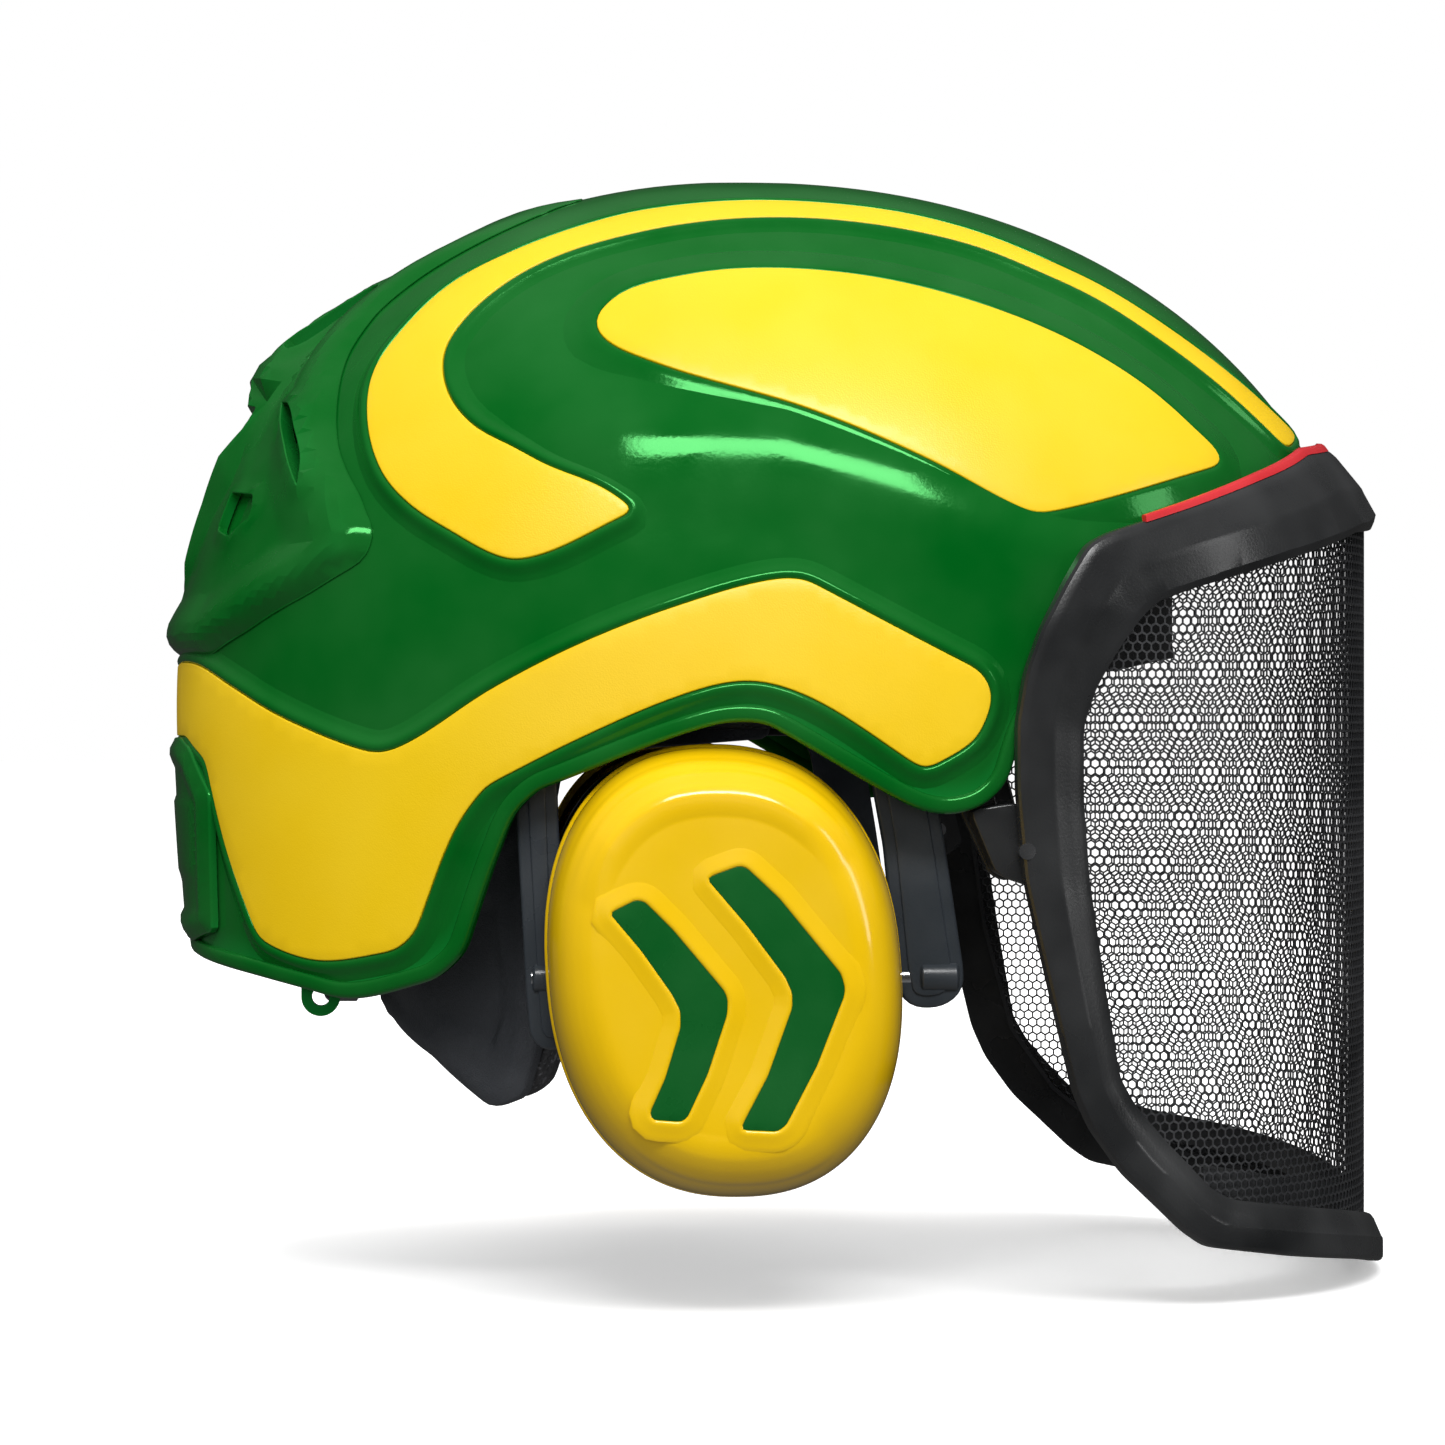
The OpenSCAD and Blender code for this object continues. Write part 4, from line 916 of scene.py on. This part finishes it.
def build_brow_pad():
    n, m = 26, 90
    az = np.linspace(-52, 52, m)
    t = np.linspace(0, 1, n)[:, None]
    z = (-6 + 28.5 * t) + brow_rise(az)
    a = np.broadcast_to(az, z.shape)
    side = 1 - (np.abs(az) / 52) ** 8
    crown = (1 - (2 * np.abs(t - 0.5)) ** 2.6) * side
    quilt = 1 - 0.22 * np.exp(-((a % 13.0) - 6.5) ** 2 / 0.9)
    depth = 0.9 + 6.0 * np.sqrt(np.maximum(crown, 0)) * quilt
    outer = np.array([about_head(x, -0.45, y) for x, y in zip(a, z)])
    inner = np.stack([np.stack([about_head(x, -0.45 - d, y) for x, d, y in zip(a[i], depth[i], z[i])])
                      for i in range(n)])
    form = Form()
    form.slab(outer, inner)
    ob = form.make("brow_pad_quilted", "shell", "pad_cloth", ["brow_pad"], [PAD], bevel=0.4)


def build_net():
    top, off = 115.5, 3.4
    form = Form()
    t = np.radians(np.linspace(-1.5, 88, 60))
    for k in range(6):
        az = 60.0 * k
        rows_out, rows_in = [], []
        for s in np.linspace(-1, 1, 9):
            lines = []
            for extra in (1.2 - 0.12 * (abs(s) < 0.9) * (abs(s) > 0.7), 0.0):
                r = ellipse(az, HEAD_A + off + extra, HEAD_B + off + extra)
                wide = 10.0 * s
                x, zc = r * np.cos(t), 21.6 + brow_rise(az)
                z = zc + (top - zc + off + extra) * np.sin(t)
                p = round_axis(az, x, z) + (HEAD_X, 0, 0)
                tangent = np.array([math.sin(math.radians(az)), math.cos(math.radians(az)), 0])
                lines.append(p + wide * tangent)
            rows_out.append(lines[0])
            rows_in.append(lines[1])
        form.slab(np.array(rows_out), np.array(rows_in))
    # Round keeper where the straps cross
    a = np.arange(48) * 2 * math.pi / 48
    rows = [np.stack([HEAD_X + r * np.cos(a), r * np.sin(a), np.full(48, top + off + h)], 1)
            for r, h in ((0.01, -0.6), (17, -1.1), (18.5, -0.6), (19, 0.6), (18.3, 1.7), (16.5, 2.1),
                         (12, 2.2), (11, 1.7), (0.01, 1.7))]
    form.grid(np.array(rows), wrap_v=True)
    form.make("crown_straps", "shell", "webbing", ["crown_net"], [WEB], bevel=0.25)


build_liner()
build_headband()
build_brow_pad()
build_net()

# ---------- Ear muffs, on the wearer's right ----------
CUP_X, CUP_Z, CUP_A, CUP_B, CUP_LEAN = -11.0, -50.0, 42.5, 54.0, -0.06
CUP_RIM, CUP_DEPTH, BASE_Y = -104.0, 26.5, -94.5


def cup_outline(s, n=180, shrink=0.0):
    t = np.arange(n) * 2 * math.pi / n
    c, q, e = np.cos(t), np.sin(t), 2 / 2.3
    x = np.sign(c) * np.abs(c) ** e * (CUP_A * s - shrink)
    z = np.sign(q) * np.abs(q) ** e * (CUP_B * s - shrink)
    return np.stack([CUP_X + x + CUP_LEAN * z, CUP_Z + z], 1)


def flat(y0):
    """Chart of a plane seen from the wearer's right; heights go outwards."""
    def place(uv, h):
        h = np.broadcast_to(h, len(uv))
        return np.stack([uv[:, 0], y0 - h, uv[:, 1]], 1), np.tile([0.0, -1.0, 0.0], (len(uv), 1))
    return place


def flat_in(y0):
    """Chart of a plane seen from the head's side; x is negated."""
    def place(uv, h):
        h = np.broadcast_to(h, len(uv))
        return np.stack([-uv[:, 0], y0 + h, uv[:, 1]], 1), np.tile([0.0, 1.0, 0.0], (len(uv), 1))
    return place


DOME = [(0.975, -0.012), (0.998, -0.012), (1.012, 0.0), (1.016, 0.03), (1.012, 0.06), (1.0, 0.075),
        (0.996, 0.09), (1.0, 0.11), (1.0, 0.22), (0.997, 0.32), (0.985, 0.44), (0.967, 0.56),
        (0.940, 0.68), (0.905, 0.785), (0.862, 0.87), (0.815, 0.932), (0.775, 0.968), (0.745, 0.985),
        (0.715, 0.995), (0.68, 1.0), (0.5, 1.0), (0.25, 1.0), (0.004, 1.0)]
CHEVRONS = [
    [(-28, 15), (-22, 18), (-20, 17.6), (-13.4, 11), (-1.3, -3.4), (-0.5, -5.4), (-0.7, -9),
     (-5.3, -23), (-10, -33), (-11.4, -34), (-18, -33.5), (-18.6, -32), (-15, -24), (-11.4, -12),
     (-11.4, -8), (-13.4, -4), (-20.7, 6.3)],
    [(-5, 23), (-4, 23.7), (2.3, 26), (4, 25.6), (11.7, 18.4), (26.2, 0.7), (27.2, -2.6), (27, -4.6),
     (20.6, -21), (13.3, -35), (11.3, -36.4), (3.2, -36), (3.2, -35), (9.2, -23.6), (15, -7.4),
     (15, -3.8), (13.3, 0), (4.4, 12)]]
chevrons = [ccw(rounded(np.array(c, float) + (CUP_X, CUP_Z), 0.9, 1.6, turns=2)) for c in CHEVRONS]


def build_cup(form):
    n = 200
    s = np.array([d[0] for d in DOME])
    y = np.array([d[1] for d in DOME])
    u = np.arange(len(DOME))
    fine = np.linspace(0, len(DOME) - 1, 4 * len(DOME))
    s, y = np.interp(fine, u, s), np.interp(fine, u, y)
    smooth = np.array([0.25, 0.5, 0.25])
    for _ in range(3):
        s[1:-1], y[1:-1] = (np.convolve(v, smooth, "valid") for v in (s, y))
    t = np.arange(n) * 2 * math.pi / n
    rows = []
    for a, d in zip(s, y):
        o = cup_outline(a, n)
        lift = np.zeros(n)
        for at, width in ((0.955, 0.012), (0.905, 0.012), (0.85, 0.014)):
            # Low arcs that step up the top of the dome
            arc = np.clip((np.sin(t - 0.12) - 0.45) / 0.3, 0, 1)
            lift += 0.55 * arc * np.clip((at - a) / width, 0, 1) * np.clip((a - 0.70) / 0.10, 0, 1)
        bar = np.clip((-np.sin(t + 0.05) - 0.80) / 0.12, 0, 1)
        lift += 0.8 * bar * np.clip((0.93 - a) / 0.015, 0, 1) * np.clip((a - 0.70) / 0.1, 0, 1)
        rows.append(np.stack([o[:, 0], CUP_RIM - CUP_DEPTH * d - lift, o[:, 1]], 1))
    form.grid(np.array(rows), wrap_v=True, flip=True)
    inner = [(1.0, -0.012, 2.4), (0.99, 0.2, 2.5), (0.95, 0.55, 2.5), (0.86, 0.80, 2.5),
             (0.74, 0.9, 2.5), (0.3, 0.9, 0.0), (0.005, 0.9, 0.0)]
    rows = []
    for a, d, shrink in inner:
        o = cup_outline(a, n, shrink)
        rows.append(np.stack([o[:, 0], np.full(n, CUP_RIM - CUP_DEPTH * d), o[:, 1]], 1))
    form.grid(np.array(rows), wrap_v=True)
    place = flat(CUP_RIM - CUP_DEPTH)
    lip = [(0.12, -0.6), (0.14, 0.35), (0.4, 0.62), (0.9, 0.72), (1.6, 0.62), (2.6, 0.36),
           (3.8, 0.12), (4.8, -0.05), (5.2, -0.25)]
    for c in chevrons:
        base, normal = place(c, 0.0)
        strip(form, base, normal, lip, lambda p, h: p + h * np.array([0, -1.0, 0]))


def build_inlays(form):
    for c in chevrons:
        plate(form, flat(CUP_RIM - CUP_DEPTH), c, top=0.45, low=-0.5, edge=0.12, step=2.5)


def build_base(form):
    plate(form, flat(BASE_Y), ccw(cup_outline(0.88)), [cup_outline(0.55)], top=9.1, low=0.0,
          edge=0.8, step=6.0)


def build_cushion(form):
    n, m = 200, 30
    t = np.arange(n) * 2 * math.pi / n
    f = np.arange(m) * 2 * math.pi / m
    rows = []
    for q in f:
        c, s = math.cos(q), math.sin(q)
        wide = np.sign(c) * abs(c) ** 0.72
        deep = np.sign(s) * abs(s) ** 0.80
        share_at = 0.735 + 0.208 * wide
        fold = 0.22 * np.sin(23 * t + 2.0 * math.sin(3 * q)) * max(0, -c) ** 2
        fold += 0.10 * np.sin(41 * t + 1.3) * max(0, s) ** 2
        o = np.stack([cup_outline(share_at, n)[:, 0], cup_outline(share_at, n)[:, 1]], 1)
        y = -86.2 + 7.7 * deep + fold + 0 * t
        seam = 0.5 * math.exp(-((math.degrees(q) - 318) / 7) ** 2)
        o = o * (1 - seam * 0.012) + np.array([CUP_X, CUP_Z]) * seam * 0.012
        rows.append(np.stack([o[:, 0], y, o[:, 1]], 1))
    form.grid(np.array(rows), wrap_u=True, wrap_v=True)


def build_cup_foam(form):
    o = cup_outline(0.83) * (-1, 1)

    def bumps(uv):
        return 0.5 * np.sin(uv[:, 0] * 0.8) * np.sin(uv[:, 1] * 0.8)

    plate(form, flat_in(-110.5), ccw(o), top=5.4, low=0.0, edge=1.6, step=2.6, height=bumps)


def bore(x, z, r, n=28):
    a = np.arange(n) * 2 * math.pi / n
    return np.stack([x + r * np.cos(a), z + r * np.sin(a)], 1)


FORK_Y, HINGE_Z, PIVOT_Z = -98.5, 12.0, -52.0
LIMB_FRONT = [(5, 9), (5, 17), (30, 17), (38, 7), (42.5, -20), (47, -50), (47, -55), (43, -58.5),
              (37, -59), (33.5, -57), (32, -50), (29, -20), (25, 2), (20, 9)]
LIMB_REAR = [(-25, 9), (-25, 17), (-51, 17), (-57, 9), (-60, 0), (-60.5, -10), (-58, -55),
             (-57, -66), (-54, -69), (-49, -68), (-48.5, -60), (-51, -30), (-52, -4), (-46, 9)]


def build_fork(form):
    for limb in (LIMB_FRONT, LIMB_REAR):
        o = ccw(rounded(np.array(limb, float), 1.5, 3.5))
        plate(form, flat(FORK_Y), o, top=1.5, low=-1.7, edge=0.8, step=3.0)
        # Raised spine down the middle of the limb
        core = o + 2.6 * unit(np.stack([-(np.roll(o, -1, 0) - np.roll(o, 1, 0))[:, 1],
                                        (np.roll(o, -1, 0) - np.roll(o, 1, 0))[:, 0]], 1))
        keep = inside(core, o) & (gap_to(core, o) > 2.3)
        if keep.sum() > 20:
            plate(form, flat(FORK_Y - 1.5), ccw(core[keep]), top=0.6, low=-0.2, edge=0.4, step=3.0)
    for x0, x1 in ((37.2, 46.6), (-57.2, -49.2)):
        lathe(form, x0, 1, FORK_Y, PIVOT_Z,
              [(0, 0.01), (0, 3.0), (0.5, 3.7), (x1 - x0 - 0.5, 3.7), (x1 - x0, 3.0), (x1 - x0, 0.01)])
    first, last = -20.35, 0.35
    for x in (first - 6, last):
        lathe(form, x, 1, FORK_Y, HINGE_Z,
              [(0, 1.8), (0, 3.0), (0.5, 3.5), (5.5, 3.5), (6, 3.0), (6, 1.8)])
        brick(form, (x, x + 6), (FORK_Y + 1.8, FORK_Y + 6.7), (11.0, 18))
    brick(form, (first - 6, last + 6), (FORK_Y + 4.1, FORK_Y + 6.7), (10.0, 18))


pair(build_cup, "cup", "cup_SIDE", "cup_yellow", ["cup_shell_SIDE"], [CUP_YELLOW], sharp=60)
pair(build_inlays, "cup_chevrons", "cup_SIDE", "inlay_green", ["cup_inlays_SIDE"], [GREEN_DEEP])
pair(build_base, "cup_carrier", "cup_SIDE", "cup_black", ["cup_base_SIDE"], [BLACK])
for ob in pair(build_cushion, "cushion", "cup_SIDE", "cushion_skin", ["ear_cushion_SIDE"], [SKIN]):
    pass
for ob in pair(build_cup_foam, "cup_lining", "cup_SIDE", "cup_foam", ["cup_foam_SIDE"], [FOAM]):
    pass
pair(build_fork, "fork", "fork_SIDE", "fork_dark", ["muff_fork_SIDE"], [FORK], bevel=0.4)

# ---------- Visor ----------
VISOR_X, VISOR_A, VISOR_B, VISOR_POWER = 41.0, 127.0, 116.8, 2.3
BROW_CREASE = np.array([(0, 65.5), (19, 64), (45, 53), (61, 43), (70, 38), (90, 30)], float)
FRAME = [((0, 82), (0, 61)), ((15, 81.5), (13, 60.5)), ((30, 78.5), (27, 58.5)),
         ((45, 70.5), (44, 50.5)), ((58, 62.5), (58, 43)), ((69, 56), (63, 39.5)),
         ((72, 53), (65, 36)), ((75, 44), (67, 31)), ((78, 33), (69, 25)), ((80, 22), (71, 18)),
         ((81, 10), (72.5, 9)), ((81, -6), (72.5, -9)), ((80, -28), (71.8, -28)),
         ((77, -54), (70, -52)), ((74, -79), (68, -76)), ((72, -88), (66, -83)),
         ((68, -99), (62, -92)), ((60, -114), (56, -104)), ((57, -118), (53, -107)),
         ((45, -122), (43, -110)), ((30, -126), (29, -114)), ((15, -130.5), (14, -118.5)),
         ((0, -133), (0, -121))]
VISOR_MM = 2.08


def on_visor(a, z, off):
    lean = np.maximum(0, z - np.interp(np.abs(a), BROW_CREASE[:, 0], BROW_CREASE[:, 1]))
    lean = 0.85 * lean * np.maximum(0, np.cos(np.radians(1.1 * a)))
    r = ellipse(a, VISOR_A, VISOR_B, VISOR_POWER) + off - lean
    return round_axis(a, r, z) + (VISOR_X, 0, 0)


def frame_half():
    """Stations down the wearer's right half of the frame: outer and inner edge, corners eased."""
    f = np.array([(o[0] * VISOR_MM, o[1], i[0] * VISOR_MM, i[1]) for o, i in FRAME], float)
    for _ in range(2):
        a, b = f[:-1], f[1:]
        cut = np.clip(1.6 / np.maximum(np.linalg.norm(b - a, axis=1), 1e-6), 0, 0.3)[:, None]
        f = np.vstack([f[:1], np.stack([a + cut * (b - a), b - cut * (b - a)], 1).reshape(-1, 4),
                       f[-1:]])
    return resample(f, 1.8, False)


def build_frame():
    half = frame_half()
    left = half[-2:0:-1] * (-1, 1, -1, 1)
    st = np.vstack([half, left])
    section = [(0.0, -4.1), (0.0, -1.3), (0.03, -0.5), (0.09, -0.05), (0.14, 0.0), (0.44, 0.0),
               (0.49, -0.06), (0.54, -0.45), (None, None), (0.90, -2.35), (0.95, -2.8), (0.99, -3.2),
               (1.0, -3.6), (1.0, -4.2), (0.93, -4.4), (0.5, -4.4), (0.07, -4.4)]
    crease = np.interp(np.abs(st[:, 0]) / VISOR_MM, BROW_CREASE[:, 0], BROW_CREASE[:, 1])
    t_c = (st[:, 1] - crease) / np.where(np.abs(st[:, 1] - st[:, 3]) < 1, 1, st[:, 1] - st[:, 3])
    t_c = np.where((st[:, 1] > crease) & (st[:, 3] < crease), np.clip(t_c, 0.56, 0.88), 0.72)
    cols = []
    for t, h in section:
        if t is None:
            t = t_c
            h = np.interp(t, [0.54, 0.90], [-0.45, -2.35])
        a = (st[:, 0] * (1 - t) + st[:, 2] * t) / VISOR_MM
        z = st[:, 1] * (1 - t) + st[:, 3] * t
        cols.append(on_visor(a, z, h))
    form = Form()
    form.grid(np.array(cols), wrap_u=True, wrap_v=True, flip=False)
    # Bow behind the foot of the frame
    bow = []
    for a in np.linspace(-56, 56, 90):
        zc = np.interp(abs(a), [0, 30, 45, 56], [-112, -106, -103, -99])
        bow.append([on_visor(a, zc + dz, off) for dz, off in
                    ((0, -6.3), (-6, -6.3), (-7, -7.2), (-6, -13), (-4, -13.6), (0.8, -8.0))])
    tube(form, np.array(bow).reshape(90, 6, 3), closed=False)
    form.make("visor_frame_shaped", "visor", "frame_black", ["visor_frame"], [BLACK], sharp=26)


def build_trim():
    half = frame_half()
    top = half[half[:, 1] > 50]
    a = np.linspace(-64, 64, 140)
    z = np.interp(np.abs(a) * VISOR_MM, top[:, 0], top[:, 1])
    form = Form()
    rows = np.array([on_visor(a, z + h, off) for h, off in
                     ((-0.2, -0.55), (1.1, -0.5), (1.5, -0.8), (1.6, -2.0), (1.4, -2.3), (-0.2, -2.3))])
    tube(form, rows.swapaxes(0, 1), closed=False)
    form.make("brow_trim_shaped", "visor", "trim_red", ["brow_trim"], [RED], sharp=40)


NET_TOP = [(0, 63.5), (13, 63), (27, 60.5), (45, 52), (58, 44.5), (63, 40.5), (67, 33), (71, 21),
           (75, 5)]
NET_LOW = [(0, -125), (29, -118), (43, -114), (53, -111), (62, -97), (68, -80), (72, -50), (75, -6)]


def build_visor_net():
    right = [(-a * VISOR_MM, z) for a, z in NET_TOP] + [(-a * VISOR_MM, z) for a, z in NET_LOW[::-1]]
    left = [(a * VISOR_MM, z) for a, z in NET_LOW[1:]] + [(a * VISOR_MM, z) for a, z in NET_TOP[:0:-1]]
    outline = ccw(np.array(right + left, float))
    pitch, wire, deep, off = 2.5, 0.50, 0.45, -4.95
    side = pitch / math.sqrt(3)
    lo, hi = outline.min(0), outline.max(0)
    cx = np.arange(lo[0] - pitch, hi[0] + pitch, pitch)
    rows = np.arange(lo[1] - pitch, hi[1] + pitch, side * 1.5)
    a_pts, b_pts = [], []
    for k, v in enumerate(rows):
        c = np.stack([cx + (k % 2) * pitch / 2, np.full(len(cx), v)], 1)
        corner = [c + side * np.array([math.sin(math.radians(60 * q)), math.cos(math.radians(60 * q))])
                  for q in range(3)]
        low_right = c + side * np.array([math.sin(math.radians(120)), math.cos(math.radians(120))])
        up_left = c + side * np.array([-math.sin(math.radians(60)), math.cos(math.radians(60))])
        for a, b in ((corner[0], corner[1]), (corner[1], low_right), (up_left, corner[0])):
            a_pts.append(a)
            b_pts.append(b)
    a, b = np.vstack(a_pts), np.vstack(b_pts)
    ok = inside(a, outline) & inside(b, outline)
    a, b = a[ok], b[ok]

    def place(uv, h):
        return on_visor(-uv[:, 0] / VISOR_MM, uv[:, 1], h)

    p, q = place(a, off), place(b, off)
    n = unit(place((a + b) / 2, off + 1.0) - place((a + b) / 2, off))
    along = unit(q - p)
    across = unit(np.cross(along, n)) * wire / 2
    p, q = p - 0.18 * along, q + 0.18 * along
    pts = np.stack([p + across, p - across, p - deep * n, q + across, q - across, q - deep * n], 1)
    k = np.arange(len(p))[:, None] * 6
    faces = np.concatenate([k + np.array(f) for f in ((0, 3, 4, 1), (1, 4, 5, 2), (2, 5, 3, 0))])
    form = Form()
    form.add(pts.reshape(-1, 3), faces)
    # Hem wire that the frame clamps
    loop = resample(outline, 3.0, True)
    base = place(loop, off)
    nn = unit(place(loop, off + 1) - base)
    _, out = frames(base, nn)
    form.grid(np.array([base + 1.2 * out * i + nn * j for i, j in
                        ((-0.6, -0.4), (-0.6, 0.3), (0.4, 0.3), (0.4, -0.4))]), wrap_u=True,
              wrap_v=True)
    form.make("visor_net", "visor", "wire_mesh", ["visor_mesh"], [WIRE], sharp=30, weld=0.0)


ARM_Y, PIVOT = -93.5, np.array([35.0, 35.0])
ARM = [(-9, 2), (-9.5, -4), (-4, -9), (3, -18), (8, -34), (13, -47), (20, -62), (24, -63.5),
       (28, -61), (26.5, -50), (24, -40), (17, -20), (10, 0), (9, 5), (4, 9), (-4, 9)]


def build_arm(form):
    o = ccw(rounded(np.array(ARM, float) + PIVOT, 1.2, 4.0))
    hole = bore(PIVOT[0], PIVOT[1], 4.1)
    plate(form, flat(ARM_Y), o, [hole], top=3.0, low=0.0, edge=0.6, step=3.0)
    rib = ccw(rounded(np.array([(2, -10), (9, -14), (18, -34), (23, -54), (19, -56), (11, -38)],
                               float) + PIVOT, 1.2, 3.0))
    plate(form, flat(ARM_Y - 3.0), rib, top=1.0, low=-0.2, edge=0.6, step=3.0)
    foot = ccw(rounded(np.array([(14, -46.5), (24, -45), (30, -48), (33, -60), (27, -64), (20, -61)],
                                float) + PIVOT, 1.2, 3.0))
    rivet = bore(PIVOT[0] + 26.5, PIVOT[1] - 56, 2.05)
    plate(form, flat(ARM_Y - 3.0), foot, [rivet], top=13.4, low=0.0, edge=0.6, step=3.0)


build_frame()
build_trim()
build_visor_net()
pair(build_arm, "visor_arm_shaped", "visor", "frame_black", ["visor_arm_SIDE"], [BLACK])

# ---------- Nape cradle, its foam and the size knob ----------
CRADLE_MM = 1.68
CRADLE_TOP = [(95, 16), (112, 15), (126, 8), (135, -16), (141, -25), (180, -26)]
CRADLE_LOW = [(95, 7), (112, 5), (127.5, 2.5), (131.5, -34), (133, -70), (136, -83), (141, -86),
              (152, -74), (165, -66), (180, -64)]
NAPE_TOP = [(132, -34), (141, -29), (180, -30)]
NAPE_LOW = [(132, -66), (136, -80), (141, -84), (152, -72), (165, -63), (180, -61)]


def cradle_point(az, z, off):
    tuck = np.maximum(0, -z - 20) * 0.12
    r = ellipse(az, HEAD_A + 2 + off - tuck, HEAD_B + 2.8 + off - tuck * 0.8, 2.6)
    return round_axis(az, r, z) + (HEAD_X, 0, 0)


def cradle_chart(uv, h):
    az, z = -uv[:, 0] / CRADLE_MM, uv[:, 1]
    h = np.broadcast_to(h, len(uv))
    p = cradle_point(az, z, h)
    du = cradle_point(az - 0.3, z, h) - cradle_point(az + 0.3, z, h)
    dv = cradle_point(az, z + 0.3, h) - cradle_point(az, z - 0.3, h)
    return p, unit(np.cross(du, dv))


def wrap_outline(top, low, step, cut):
    top, low = np.array(top, float), np.array(low, float)
    turn = np.array([360, 0]) + np.array([-1, 1]) * top[-2::-1]
    turn_low = np.array([360, 0]) + np.array([-1, 1]) * low[-2::-1]
    line = np.vstack([low, turn_low, (np.vstack([top, turn]))[::-1]])
    return ccw(rounded(line * (-CRADLE_MM, 1), step, cut))


def build_cradle():
    outline = wrap_outline(CRADLE_TOP, CRADLE_LOW, 1.6, 4.0)
    pocket = np.array([(137.5, -33), (150, -36), (156, -44), (152, -64), (140, -74), (136.5, -60)])
    pockets = [rounded(pocket * (-CRADLE_MM, 1), 1.5, 4.0),
               rounded((np.array([360, 0]) + np.array([-1, 1]) * pocket) * (-CRADLE_MM, 1), 1.5, 4.0)]

    def height(uv):
        d = gap_to(uv, outline)
        rim = np.interp(d, [0, 1.2, 3.6, 5.2], [0.0, 0.9, 0.9, 0.0])
        sunk = 0.0
        for p in pockets:
            g = gap_to(uv, p)
            sunk = sunk + np.where(inside(uv, p), np.clip(g / 2.0, 0, 1) * 1.7, 0)
        return rim - sunk

    form = Form()
    plate(form, cradle_chart, outline, top=3.0, low=0.0, edge=1.0, step=2.2, height=height)
    form.make("nape_cradle_shaped", "cradle", "cradle_grey", ["nape_cradle"], [GREY_GRAIN],
              bevel=0.5, sharp=35)


def build_nape_foam():
    outline = wrap_outline(NAPE_TOP, NAPE_LOW, 2.0, 5.0)

    def grain(uv):
        u, v = uv[:, 0], uv[:, 1]
        return 0.16 * np.sin(2.9 * u + 1.7 * v) * np.sin(2.3 * v - 1.1 * u)

    form = Form()
    plate(form, cradle_chart, outline, top=-0.8, low=-7.8, edge=1.6, step=2.0, height=grain)
    ob = form.make("nape_pad", "cradle", "nape_foam", ["nape_foam"], [NAPE], bevel=1.6, segments=3)


def build_knob():
    lo, hi = (np.array(v) * 1000 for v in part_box("size_knob"))
    x0, x1, z = lo[0], hi[0], (lo[2] + hi[2]) / 2
    n = 240
    a = np.arange(n) * 2 * math.pi / n
    lobe = np.clip(1.5 * np.cos(20 * a) + 0.3, -1, 1)
    rows = []
    for t, r, rib in ((0.0, 3.2, 0), (0.0, 8.0, 0), (0.06, 8.6, 0), (0.10, 12.8, 0), (0.02, 13.6, 0),
                      (0.0, 14.6, 0.2), (0.05, 15.6, 0.5), (0.14, 16.2, 0.75), (0.55, 16.2, 0.75),
                      (0.80, 16.2, 0.75), (0.86, 15.6, 0.3), (0.9, 14.9, 0.0), (1.0, 14.7, 0.0),
                      (1.0, 3.2, 0.0), (0.0, 3.2, 0)):
        q = r + rib * lobe
        rows.append(np.stack([np.full(n, x0 + t * (x1 - x0)), q * np.sin(a), z + q * np.cos(a)], 1))
    form = Form()
    form.grid(np.array(rows), wrap_v=True)
    form.make("size_knob_ribbed", "knob", "band_black", ["size_knob"], [BLACK], sharp=40)


build_cradle()
build_nape_foam()
build_knob()

# ---------- CAD pieces that keep their shape ----------
KEPT = {"net_hooks": (BLACK, 0.6), "muff_guide_right": (BLACK, 0.7), "muff_guide_left": (BLACK, 0.7),
        "muff_slider_right": (FORK, 0.5), "muff_slider_left": (FORK, 0.5), "clip_tabs": (GREEN, 0.6),
        "visor_pivots": (STEEL, 0.4), "visor_rivets": (STEEL, 0.3), "hinge_pin_right": (STEEL, 0.3),
        "hinge_pin_left": (STEEL, 0.3), "cup_pins_right": (STEEL, 0.3), "cup_pins_left": (STEEL, 0.3),
        "knob_shaft": (GREY_GRAIN, 0.2)}
for name, (finish, width) in KEPT.items():
    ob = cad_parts[name]
    ob.data.materials.clear()
    ob.data.materials.append(finish)
    b = ob.modifiers.new("edges", "BEVEL")
    b.width, b.segments, b.limit_method = width / 1000, 2, "ANGLE"
    b.angle_limit = math.radians(40)
